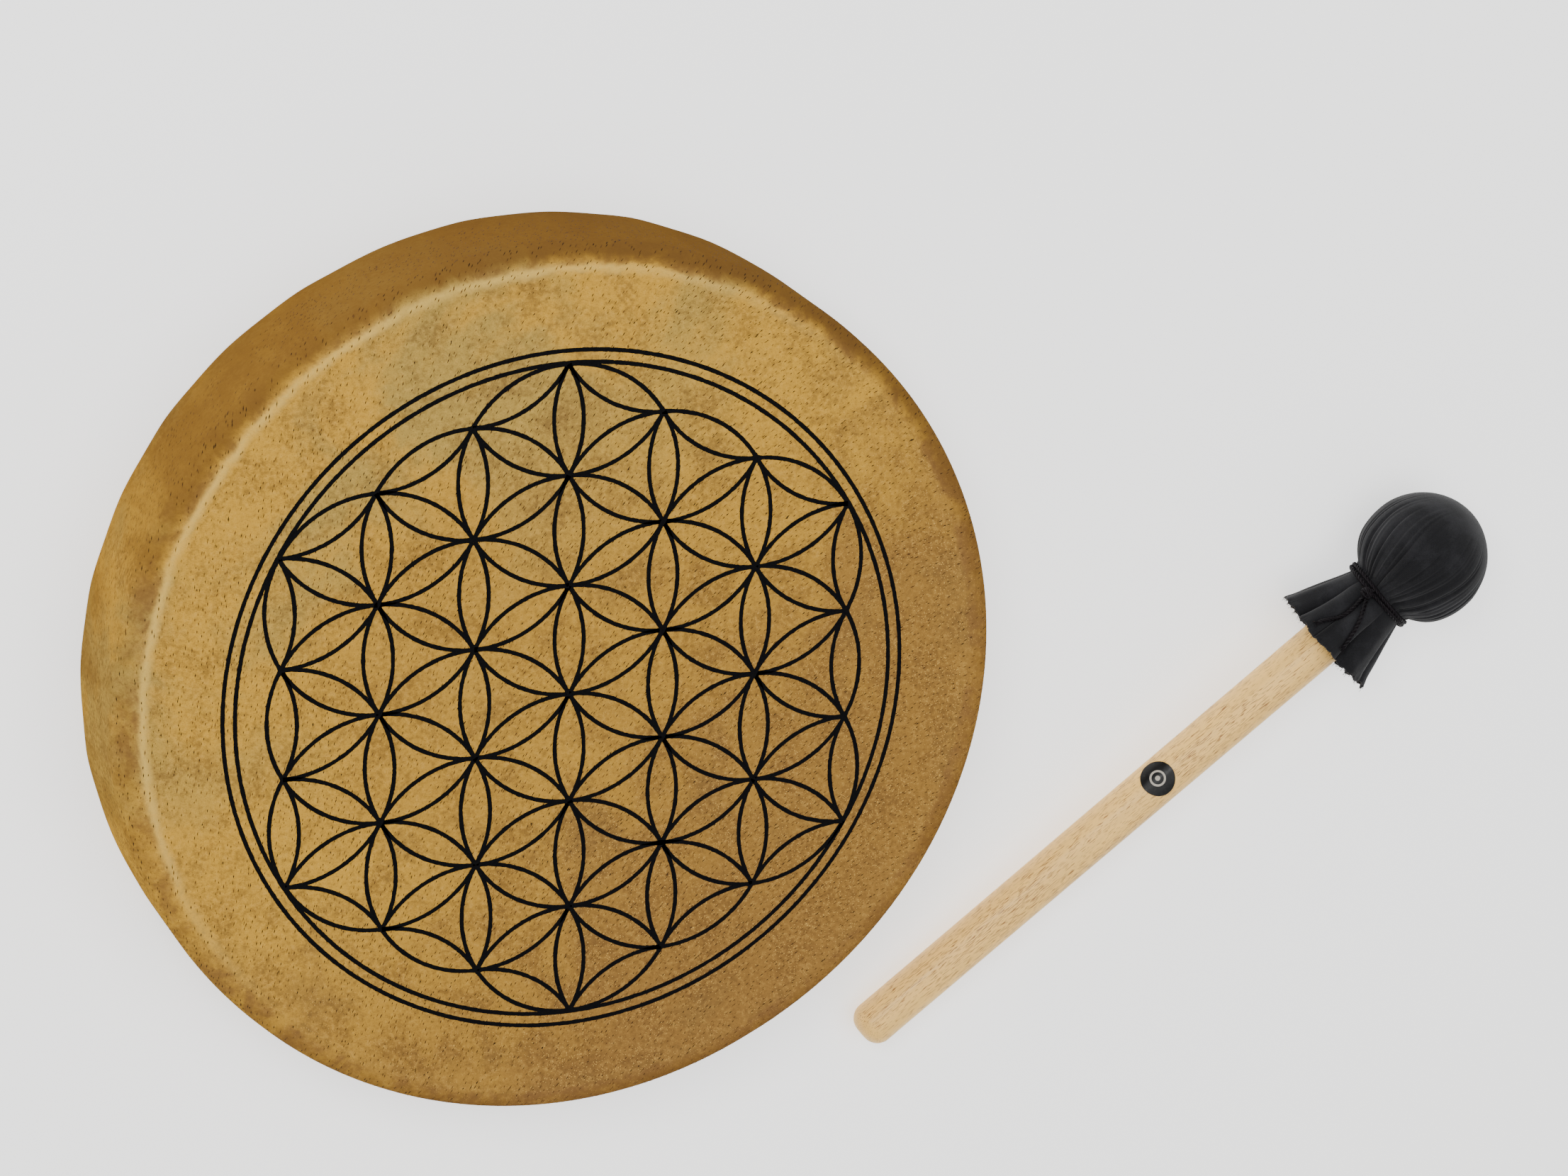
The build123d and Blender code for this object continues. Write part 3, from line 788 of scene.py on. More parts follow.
def make_skin():
    """The goatskin, wrapped over the hoop and laced to the hand ring behind."""
    sizes = bpy.context.scene.drum_sizes
    profile = skin_profile()
    around = sizes.slit_count * 14
    land = HEAD_RADIUS - sizes.back_round - sizes.back_land
    cut = land - sizes.margin
    slit_at = cut + sizes.slit_inset
    slit_half_width = 1.5 * MM
    slit_half_length = 3.4 * MM
    bm = bmesh.new()
    middle = bm.verts.new((0, 0, DEPTH))
    rings = []
    for row, (radius, z) in enumerate(profile):
        ring = []
        for step in range(around):
            angle = sizes.lacing_turn + math.tau * step / around
            near, _ = corner_share(angle)
            out = swell(angle, z) * ease(radius, land - 6 * MM, land + 4 * MM)
            height = z + (crest_rise(radius) if z > DEPTH - 2 * MM else 0)
            here = radius
            if radius < land - 1 * MM and row > 20:
                share = (land - radius) / sizes.margin
                pucker = (0.5 - near) * 1.5 * MM * math.sin(math.pi * min(1, share * 1.1))
                wave = noise.noise(Vector((angle * 9, radius * 60, 4.2)))
                height += max(-0.3 * MM * share, pucker + 0.9 * MM * wave * share)
                pull = ease(share, 0.75, 1.0)
                ragged = noise.noise(Vector((angle * 23, 1.7, 0))) * 1.0 * MM
                here -= (near * 1.8 * MM + ragged - 0.9 * MM) * pull
            ring.append(bm.verts.new(polar(here + out, angle, height)))
        rings.append(ring)
    for step in range(around):
        bm.faces.new((middle, rings[0][step], rings[0][(step + 1) % around]))
    step_angle = math.tau / sizes.slit_count
    for row, (low, high) in enumerate(zip(rings, rings[1:])):
        radius = (profile[row][0] + profile[row + 1][0]) / 2
        for step in range(around):
            after = (step + 1) % around
            middle_angle = math.tau * (step + 0.5) / around
            from_slit = abs((middle_angle / step_angle) % 1 - 0.5) * step_angle * slit_at
            across_slit = abs(radius - slit_at)
            if row > 25 and across_slit < slit_half_width and from_slit < slit_half_length:
                continue
            bm.faces.new((low[step], high[step], high[after], low[after]))
    skin = piece_from("drum_skin", bm, outwards=True)
    if skin.data.polygons[0].normal.z < 0:
        skin.data.flip_normals()
    thicken(skin, sizes.skin)
    smooth(skin, 50)
    dress(skin, goatskin_paint())
    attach(skin, "drum")
    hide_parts("goatskin_head")


def hair_lean(place):
    return math.radians(54 - 180 * place.x + 14 * noise.noise(place * 30))


def make_hair():
    """Short stubs of clipped hair, left lying in the skin."""
    sizes = bpy.context.scene.drum_sizes
    chance = random.Random(7)
    bm = bmesh.new()
    front = sizes.front_round
    flat = HEAD_RADIUS - front
    reach = HEAD_RADIUS + math.pi / 2 * front - front + 38 * MM
    spacing = sizes.stub_spacing
    rows = int(reach / spacing) + 1
    for row in range(-rows, rows + 1):
        for column in range(-rows, rows + 1):
            spot = Vector((column * spacing, row * spacing, 0))
            spot += Vector((chance.uniform(-0.5, 0.5), chance.uniform(-0.5, 0.5), 0)) * spacing
            away = spot.length
            if away > reach:
                continue
            patch = noise.noise(spot * 22 + Vector((3, 1, 0))) + 0.5 * noise.noise(spot * 60)
            if chance.random() > 0.78 + 0.55 * patch - 0.8 * (spot.y - spot.x):
                continue
            outwards = spot.normalized() if away else Vector((1, 0, 0))
            if away <= flat:
                wide = swell(math.atan2(spot.y, spot.x), DEPTH) * ease(away, 0.1845, 0.1945)
                foot = Vector((spot.x, spot.y, DEPTH + crest_rise(away))) + outwards * wide
                normal = Vector((0, 0, 1))
                downhill = outwards
            elif away <= flat + math.pi / 2 * front:
                turn = (away - flat) / front
                normal = outwards * math.sin(turn) + Vector((0, 0, 1)) * math.cos(turn)
                wide = swell(math.atan2(spot.y, spot.x), DEPTH)
                foot = outwards * (flat + wide) + Vector((0, 0, DEPTH - front)) + normal * front
                downhill = outwards * math.cos(turn) - Vector((0, 0, 1)) * math.sin(turn)
            else:
                down = away - flat - math.pi / 2 * front
                normal = outwards
                z = DEPTH - front - down
                wide = swell(math.atan2(spot.y, spot.x) % math.tau, z)
                foot = outwards * (HEAD_RADIUS + wide) + Vector((0, 0, z))
                downhill = Vector((0, 0, -1))
            sideways = normal.cross(downhill)
            lean = hair_lean(spot) - math.atan2(outwards.y, outwards.x)
            ahead = downhill * math.cos(lean) + sideways * math.sin(lean)
            across = normal.cross(ahead)
            length = chance.uniform(1.3, 2.9) * MM
            width = chance.uniform(0.17, 0.30) * MM
            tip = chance.uniform(0.05, 0.11) * MM
            foot -= normal * 0.01 * MM
            back = bm.verts.new(foot - ahead * length / 2)
            left = bm.verts.new(foot + across * width)
            right = bm.verts.new(foot - across * width)
            end = bm.verts.new(foot + ahead * length / 2)
            crown = bm.verts.new(foot + normal * tip)
            for a, b in ((back, right), (right, end), (end, left), (left, back)):
                bm.faces.new((a, b, crown))
            bm.faces.new((back, left, end, right))
    hair = piece_from("hair_stubs", bm)
    dress(hair, hair_paint())
    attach(hair, "drum")


def print_strokes():
    """Every arc of the print: its centre, radius, first angle and sweep."""
    sizes = bpy.context.scene.drum_sizes
    circle = sizes.circle
    step = circle * math.sqrt(3) / 2
    nodes = [
        Vector((column * step, (place - (6 - abs(column)) / 2) * circle))
        for column in range(-3, 4)
        for place in range(7 - abs(column))
    ]
    strokes = []
    for first in nodes:
        for degrees in (30, 90, 150):
            turn = math.radians(degrees)
            second = first + Vector((math.cos(turn), math.sin(turn))) * circle
            if not any((second - other).length < circle / 10 for other in nodes):
                continue
            for side in (1, -1):
                centre = first + Vector(
                    (math.cos(turn + side * math.pi / 3), math.sin(turn + side * math.pi / 3))
                ) * circle
                start = math.atan2(*(first - centre).yx)
                finish = math.atan2(*(second - centre).yx)
                sweep_by = (finish - start + math.pi) % math.tau - math.pi
                strokes.append((centre, circle, start, sweep_by))
    middle = Vector((0, 0))
    strokes.append((middle, sizes.inner_ring, 0, math.tau))
    strokes.append((middle, sizes.outer_ring, 0, math.tau))
    return strokes


def make_print():
    """The black print, a line at a time, with the rough edges of a stencil."""
    sizes = bpy.context.scene.drum_sizes
    bm = bmesh.new()
    half = sizes.line / 2
    thickness = 0.07 * MM
    bevel = 0.03 * MM
    for number, (centre, radius, start, sweep_by) in enumerate(print_strokes()):
        length = radius * abs(sweep_by)
        count = max(8, round(length / (0.95 * MM)))
        whole = abs(sweep_by) > 6
        lift = (number % 5) * 0.002 * MM
        base = DEPTH + 0.005 * MM
        rows = []
        for step in range(count + (0 if whole else 1)):
            angle = start + sweep_by * step / count
            spot = Vector((centre.x + PRINT_CENTRE.x, centre.y + PRINT_CENTRE.y, 0))
            outwards = Vector((math.cos(angle), math.sin(angle), 0))
            place = spot + outwards * radius
            coarse = noise.noise(Vector((place.x * 300, place.y * 300, 1))) * 0.12
            end = 0 if whole else 1 - min(1, min(step, count - step) / 3)
            inner, outer = (
                half + (noise.noise(Vector((place.x * 1400, place.y * 1400, seed))) * 0.20
                        + coarse + end * 0.25) * MM
                for seed in (4, 9)
            )
            foot = place + Vector((0, 0, base))
            crown = foot + Vector((0, 0, thickness + lift))
            rows.append(
                [
                    bm.verts.new(foot - outwards * inner),
                    bm.verts.new(foot + outwards * outer),
                    bm.verts.new(crown + outwards * (outer - bevel)),
                    bm.verts.new(crown - outwards * (inner - bevel)),
                ]
            )
        join_rings(bm, rows, closed=whole)
    ink = piece_from("ink_print", bm, outwards=True)
    dress(ink, ink_paint())
    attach(ink, "drum")
    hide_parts("printed_design")


def make_hoop():
    """The three bent plies keep their shape and get their timber."""
    finish = bpy.context.scene.drum_finish
    for number, name in enumerate(("hoop_outer_ply", "hoop_middle_ply", "hoop_inner_ply")):
        shade = 1 - 0.06 * number
        base = times(finish.hoop, shade)
        dark = times(base, 0.62)
        dress(NODES[name], wood_paint("hoop_ply_" + str(number + 1), base, dark,
                                      hoop_grain(90 + 120 * number)))


def strip_section(width, thickness, twist):
    """A rounded strip's section, turned by the twist for each metre along it."""

    def section(along):
        turn = along * twist
        points = []
        for step in range(8):
            angle = math.tau * step / 8
            x = math.copysign(abs(math.cos(angle)) ** 0.7, math.cos(angle)) * width / 2
            y = math.copysign(abs(math.sin(angle)) ** 0.7, math.sin(angle)) * thickness / 2
            points.append(
                (x * math.cos(turn) - y * math.sin(turn), x * math.sin(turn) + y * math.cos(turn))
            )
        return points

    return section


def lace_route():
    """The whole lace's control points, once round the drum."""
    sizes = bpy.context.scene.drum_sizes
    slit_at = HEAD_RADIUS - sizes.back_round - sizes.back_land - sizes.margin + sizes.slit_inset
    step = math.tau / sizes.slit_count
    half = step / 2
    inner = sizes.ring_radius - sizes.ring_cover - sizes.lace / 2 - 0.1 * MM
    top, bottom = 30.2 * MM, 19.3 * MM
    strand, stitch = 5.1 * MM, 1.3 * MM

    def between(a, b, from_a):
        return a + (b - a).normalized() * from_a

    points = []
    for turn in range(sizes.slit_count // 2):
        middle = sizes.lacing_turn + 2 * step * turn
        start = polar(slit_at, middle - half, strand)
        over = polar(inner, middle, top)
        under = polar(inner, middle, bottom)
        finish = polar(slit_at, middle + half, strand)
        below = polar(slit_at, middle + half, stitch)
        along = polar(slit_at, middle + 3 * half, stitch)
        points += [
            start,
            between(start, over, 9 * MM),
            between(over, start, 14 * MM),
            over,
            under,
            between(under, finish, 14 * MM),
            between(finish, under, 9 * MM),
            finish,
            below,
            between(below, along, 7 * MM),
            between(along, below, 7 * MM),
            along,
        ]
    first = points[0]
    points.append(first + (points[1] - first) * 0.05)
    return points


def make_lace():
    """One rawhide lace, through every slit and round the hand ring."""
    sizes = bpy.context.scene.drum_sizes
    finish = bpy.context.scene.drum_finish
    line = even_points(route_points(lace_route(), 6), 2.6 * MM)
    bm = bmesh.new()
    sweep(bm, line, strip_section(sizes.lace * 1.12, sizes.lace * 0.72, 260.0), Vector((0, 0, 1)))
    lace = piece_from("hide_lace", bm, outwards=True)
    smooth(lace, 60)
    dark = times(finish.lace, 0.5)
    paint = rawhide_paint("rawhide", finish.lace, dark)
    dress(lace, paint)
    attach(lace, "drum")
    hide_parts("lace")

    route = lace_route()
    start, over = route[0], route[3]
    knot_place = 0.7346
    centre = start + (over - start) * knot_place
    strand = (over - start).normalized()
    aside = strand.cross(Vector((0, 0, 1))).normalized()
    upright = aside.cross(strand)
    pitch = 2.304 * MM
    turns = 5
    length = pitch * turns
    wrap = 2.45 * MM
    points = []
    tail = (-strand + upright * 0.6 - aside * 0.8).normalized()
    first = centre - strand * length / 2 + upright * wrap
    points.append(first + tail * 9 * MM)
    points.append(first + tail * 4 * MM)
    for step in range(turns * 12 + 1):
        angle = math.tau * step / 12
        points.append(
            centre + strand * (length * (step / (turns * 12) - 0.5))
            + upright * wrap * math.cos(angle) + aside * wrap * math.sin(angle)
        )
    tail = (strand + upright * 0.6 + aside * 0.8).normalized()
    last = centre + strand * length / 2 + upright * wrap
    points.append(last + tail * 4 * MM)
    points.append(last + tail * 9 * MM)
    line = even_points(route_points(points, 4), 0.5 * MM)
    bm = bmesh.new()
    sweep(bm, line, strip_section(sizes.lace, sizes.lace * 0.9, 90.0), strand)
    knot = piece_from("hide_lace_knot", bm, outwards=True)
    smooth(knot, 60)
    dress(knot, paint)
    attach(knot, "drum")
    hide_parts("lace_knot")


def make_ring():
    """The hand ring: a bright steel wire in a stitched leather cover."""
    sizes = bpy.context.scene.drum_sizes
    finish = bpy.context.scene.drum_finish
    stitches = 52
    dress(NODES["ring_core"], steel_paint())
    deselect_all()
    bpy.ops.mesh.primitive_torus_add(
        location=(0, 0, sizes.ring_height),
        major_radius=sizes.ring_radius,
        minor_radius=sizes.ring_cover,
        major_segments=160,
        minor_segments=28,
    )
    cover = bpy.context.object
    cover.name = cover.data.name = "ring_leather"
    bpy.ops.object.transform_apply(location=True, rotation=True, scale=True)
    for vertex in cover.data.vertices:
        flat = Vector((vertex.co.x, vertex.co.y, 0))
        angle = math.atan2(flat.y, flat.x)
        off = Vector((flat.length - sizes.ring_radius, vertex.co.z - sizes.ring_height))
        seam = math.exp(-((math.atan2(off.y, off.x) / 0.16) ** 2))
        ripple = noise.noise(Vector((angle * 14, off.angle(Vector((1, 0))) * 1.5, 0)))
        grow = 1 + 0.028 * ripple - 0.13 * seam + 0.05 * seam * math.cos(angle * stitches)
        vertex.co = polar(sizes.ring_radius + off.x * grow, angle, sizes.ring_height + off.y * grow)
    smooth(cover, 60)
    dress(cover, leather_paint("ring_leather", finish.ring))
    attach(cover, "drum")
    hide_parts("ring_cover")

    bm = bmesh.new()
    stitch_paint = rawhide_paint("ring_thread", (0.30, 0.20, 0.10), (0.12, 0.07, 0.03))
    for number in range(stitches):
        angle = math.tau * number / stitches
        points = []
        for step in range(9):
            turn = math.radians(-42 + 84 * step / 8)
            lean = angle + math.radians(1.6) * (step / 4 - 1)
            out = sizes.ring_cover + (0.12 if 0 < step < 8 else -0.35) * MM
            points.append(
                polar(
                    sizes.ring_radius + out * math.cos(turn), lean,
                    sizes.ring_height + out * math.sin(turn),
                )
            )
        sweep(bm, points, strip_section(0.55 * MM, 0.42 * MM, 0), polar(1, angle, 0))
    thread = piece_from("ring_stitches", bm, outwards=True)
    smooth(thread, 60)
    dress(thread, stitch_paint)
    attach(thread, "drum")


def make_handle():
    """The beater's turned handle and the small badge let into it."""
    finish = bpy.context.scene.drum_finish
    base = tuple(finish.handle)
    dress(
        NODES["beater_handle"],
        wood_paint(
            "handle_wood", base, times(base, 0.86), beater_grain, rough=0.42,
            pores=tuple(finish.pores),
        ),
    )
    dress(NODES["handle_badge"], badge_paint())


def around_beater(bm, profile, steps, shape, tip_at):
    """A skin round the beater: profile is distance and radius, shape moves each point."""
    rings = []
    for distance, radius in profile:
        ring = []
        for step in range(steps):
            turn = math.tau * step / steps
            here, out = shape(distance, radius, turn)
            ring.append(bm.verts.new(on_beater(here, turn, out)))
        rings.append(ring)
    join_rings(bm, rings, capped=False)
    tip = bm.verts.new(on_beater(tip_at, 0, 0))
    for step in range(steps):
        bm.faces.new((rings[-1][step], rings[-1][(step + 1) % steps], tip))
    return rings


def face_away(piece):
    """Turns a closed ball's faces outwards, which its open neck can leave in doubt."""
    centre = on_beater(bpy.context.scene.drum_beater.ball_at, 0, 0)
    face = piece.data.polygons[-1]
    if face.normal.dot(face.center - centre) < 0:
        piece.data.flip_normals()


def make_padding():
    """The ball's wooden core and the fleece wound over it."""
    sizes = bpy.context.scene.drum_beater
    finish = bpy.context.scene.drum_finish
    base = times(finish.handle, 0.9)
    dress(
        NODES["head_core"],
        wood_paint("core_wood", base, times(base, 0.7), beater_grain),
    )
    radius = sizes.ball - 1.9 * MM
    start = sizes.neck_at - 7 * MM
    profile = []
    for step in range(5):
        profile.append((start + step * 1.6 * MM, 15.2 * MM))
    first = math.acos(-(sizes.ball_at - sizes.neck_at - 2 * MM) / radius)
    for step in range(22):
        turn = first * (1 - step / 22)
        profile.append(
            (
                sizes.ball_at + radius * math.cos(turn),
                max(15.0 * MM if turn > 2 else 0.0, radius * math.sin(turn)),
            )
        )

    def lumps(distance, out, turn):
        spot = on_beater(distance, turn, out) * 90
        return distance, out * (1 - 0.018 * abs(noise.noise(spot)) - 0.006)

    bm = bmesh.new()
    around_beater(bm, profile, 64, lumps, sizes.ball_at + radius * 0.985)
    padding = piece_from("ball_fleece", bm, outwards=True)
    face_away(padding)
    thicken(padding, 3.2 * MM)
    smooth(padding, 60)
    dress(padding, felt_paint())
    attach(padding, "beater")
    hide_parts("head_padding")


def facing(turn):
    """How squarely this turn about the beater faces up and away from the drum's foot."""
    return max(0.0, math.cos(turn - UPPER_SIDE))


def neck_sag(turn):
    """How far the ball pushes the tie down the handle on its upper side."""
    return 2.6 * MM * facing(turn)


def hem_drop(turn):
    """How much longer the skirt hangs on its upper side than at its flanks."""
    return (4.6 * facing(turn) - 2.2) * MM


def cover_profile():
    """The cover's outside from its hem, up the skirt, through the tie and over the ball."""
    sizes = bpy.context.scene.drum_beater
    neck = sizes.neck
    skirt_top = sizes.neck_at - NECK_BAND
    rows = []
    for step in range(23):
        share = step / 22
        distance = sizes.hem_at + (skirt_top - sizes.hem_at) * share
        rows.append((distance, sizes.hem + (neck - sizes.hem) * share))
    rows += [(sizes.neck_at - 1.2 * MM, neck - 0.1 * MM), (sizes.neck_at, neck)]
    first = math.pi - math.asin((neck + 0.7 * MM) / sizes.ball)
    for step in range(40):
        turn = first * (1 - step / 40)
        full = 1 + 0.044 * math.sin(turn) + 0.045 * math.exp(-(((turn - 2.25) / 0.35) ** 2))
        ahead = math.cos(turn) * (1.07 if turn < math.pi / 2 else 1)
        rows.append((sizes.ball_at + sizes.ball * ahead, sizes.ball * math.sin(turn) * full))
    return rows


def make_cover():
    """The jersey cover: smooth over the ball, gathered at the neck, pleated in its skirt."""
    sizes = bpy.context.scene.drum_beater
    profile = cover_profile()
    skirt_top = sizes.neck_at - NECK_BAND
    low = 25.9 * MM
    high = 27.2 * MM
    chance = random.Random(11)
    steps = 480
    folds = []
    place = 0.0
    while place < math.tau - 0.25:
        width = math.tau / sizes.pleats * chance.uniform(0.6, 1.5)
        folds.append((place, width, chance.uniform(0.75, 1.2)))
        place += width
    stretch = math.tau / place
    folds = [(start * stretch, width * stretch, deep) for start, width, deep in folds]

    def fold_at(turn):
        for start, width, deep in folds:
            if start <= turn < start + width:
                share = (turn - start) / width
                return (math.sin(math.pi * share) ** 0.6, deep)
        return (0.0, 1.0)

    wrinkles = [
        (chance.uniform(0, math.tau), chance.uniform(0.024, 0.07), chance.uniform(0.35, 1.3),
         chance.uniform(0.5, 1.3), chance.uniform(-0.4, 0.22))
        for _ in range(120)
    ]
    for _ in range(26):
        turn = UPPER_SIDE + math.radians(chance.uniform(-58, 58))
        wrinkles.append(
            (turn, chance.uniform(0.022, 0.05), chance.uniform(0.45, 1.25), chance.uniform(0.7, 1.3),
             chance.uniform(-0.3, 0.12))
        )

    def shape(distance, radius, turn):
        ridge, deep = fold_at(turn)
        if distance < skirt_top:
            share = (skirt_top - distance) / (skirt_top - sizes.hem_at)
            across = sizes.neck + (sizes.hem - sizes.neck) * share
            tall = sizes.neck + ((high if math.sin(turn) > 0 else low) - sizes.neck) * share
            out = math.hypot(across * math.cos(turn), tall * math.sin(turn))
            depth = (0.9 + 5.6 * ease(share, 0.0, 0.7)) * MM * deep
            crisp = noise.noise(Vector((math.cos(turn) * 5, math.sin(turn) * 5, share * 1.7)))
            out -= (1 - ridge) * depth
            out += crisp * 0.9 * MM * share - 0.4 * MM * share
            out = max(out, 12.8 * MM + 3.0 * MM * (1 - share))
            ragged = noise.noise(Vector((math.cos(turn) * 9, math.sin(turn) * 9, 3)))
            rough = noise.noise(Vector((turn * 40, 2, 8)))
            here = distance + (ragged * 1.7 + rough * 0.5 + 0.9) * MM * ease(share, 0.8, 1.0)
            here -= hem_drop(turn) * ease(share, 0.1, 1.0)
            return here - neck_sag(turn) * (1 - ease(share, 0.0, 0.5)), out
        if distance <= sizes.neck_at + 0.1 * MM:
            return distance - neck_sag(turn), radius - (1 - ridge) * 0.9 * MM
        on_ball = math.atan2(radius, distance - sizes.ball_at)
        from_neck = (math.pi - math.asin(sizes.neck / sizes.ball) - on_ball) / (math.pi / 2)
        fall = math.exp(-((from_neck / 0.30) ** 2))
        out = radius - (1 - ridge) * 1.1 * MM * fall
        crease = 0.0
        for centre, width, reach, deep_one, begin in wrinkles:
            off = (turn - centre + math.pi) % math.tau - math.pi
            off += 0.06 * math.sin(from_neck * 4 + centre * 3)
            if abs(off) < width * 2:
                fade = max(0.0, 1 - from_neck / reach) * ease(from_neck, begin, begin + 0.15)
                crease += math.exp(-((off / width) ** 2) * 3) * deep_one * fade ** 1.1
        out -= min(1.7, crease) * 0.9 * MM * ease(from_neck, -0.1, 0.06)
        spot = on_beater(distance, turn, radius) * 60
        out -= 0.35 * MM * abs(noise.noise(spot))
        out = min(out, sizes.ball * (0.998 + 0.06 * ease(math.sin(turn), -0.85, -0.3)))
        return distance - neck_sag(turn) * (1 - ease(from_neck, 0.0, 0.55)), out

    bm = bmesh.new()
    rings = around_beater(bm, profile, steps, shape, sizes.ball_at + sizes.ball * 1.069)
    weave = bm.loops.layers.uv.new("weave")
    lengths = [0.0]
    for (a, b), (c, d) in zip(profile, profile[1:]):
        lengths.append(lengths[-1] + math.hypot(c - a, d - b))
    where = {}
    for row, ring in enumerate(rings):
        for step, vertex in enumerate(ring):
            where[vertex] = (step, lengths[row])
    stitch = 0.6 * MM
    for face in bm.faces:
        known = [where.get(loop.vert) for loop in face.loops]
        turns = [item[0] for item in known if item]
        wrap = max(turns) - min(turns) > steps / 2
        for loop, item in zip(face.loops, known):
            step, far = item if item else (sum(turns) / len(turns), lengths[-1] + 3 * MM)
            if wrap and step < steps / 2:
                step += steps
            loop[weave].uv = (round(math.tau * 24 * MM / stitch) * step / steps, far / stitch)
    cover = piece_from("cloth_cover", bm, outwards=True)
    face_away(cover)
    thicken(cover, sizes.cloth)
    smooth(cover, 75)
    dress(cover, cloth_paint())
    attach(cover, "beater")
    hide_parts("head_cover")


def twisted(bm, line, diameter, normal, closed=False):
    """Three strands laid together along a line."""
    radius = diameter * 0.27
    offset = diameter * 0.235
    pitch = 6.5 * MM
    sides = 7
    if closed:
        total = sum((b - a).length for a, b in zip(line, line[1:])) + (line[0] - line[-1]).length
        pitch = total / round(total / pitch)
    frames = list(frames_along(line, normal, closed))
    for strand in range(3):
        rings = []
        for point, x, y, along in frames:
            turn = math.tau * (along / pitch + strand / 3)
            centre = point + (x * math.cos(turn) + y * math.sin(turn)) * offset
            ring = []
            for side in range(sides):
                angle = math.tau * side / sides
                ring.append(
                    bm.verts.new(centre + (x * math.cos(angle) + y * math.sin(angle)) * radius)
                )
            rings.append(ring)
        join_rings(bm, rings, closed)


def add_cord(name, bm, node, paint):
    cord = piece_from(name, bm, outwards=True)
    smooth(cord, 70)
    dress(cord, paint)
    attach(cord, "beater")
    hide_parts(node)


# Each loose end's course: distance along the beater, degrees round it, millimetres out from it.
TAILS = {
    "left": (
        (318.0, 132.5, 19.4), (315.4, 133.0, 21.0), (310.0, 131.0, 23.2), (304.9, 128.6, 25.8),
        (299.0, 129.4, 27.2), (292.9, 134.6, 28.0), (286.9, 139.2, 29.4),
    ),
    "right": (
        (318.0, 129.5, 19.4), (315.4, 129.0, 21.0), (311.4, 125.2, 23.2), (306.8, 116.5, 25.8),
        (301.2, 109.0, 27.2), (295.2, 104.4, 27.9), (288.6, 100.6, 29.2),
    ),
}


def lie_on(cover, line, gap):
    """Lays a line of points on the cover's outside, bridging its narrow folds."""
    along = beater_axes()[0]
    butt = Vector(bpy.context.scene.drum_beater.butt)
    corners = [vertex.co for vertex in cover.data.vertices]
    tree = BVHTree.FromPolygons(corners, [tuple(face.vertices) for face in cover.data.polygons])
    spokes = []
    heights = []
    for point in line:
        centre = butt + along * (point - butt).dot(along)
        out = (point - centre).normalized()
        hit = tree.ray_cast(centre + out * 60 * MM, -out)[0]
        if hit is None and not heights:
            raise RuntimeError("a loose end of the tie starts off the cover")
        heights.append((hit - centre).length + gap if hit else heights[-1])
        spokes.append((centre, out))
    for settle in (max, lambda window: sum(window) / len(window)):
        heights = [settle(heights[max(0, at - 5):at + 6]) for at in range(len(heights))]
    return [centre + out * height for (centre, out), height in zip(spokes, heights)]


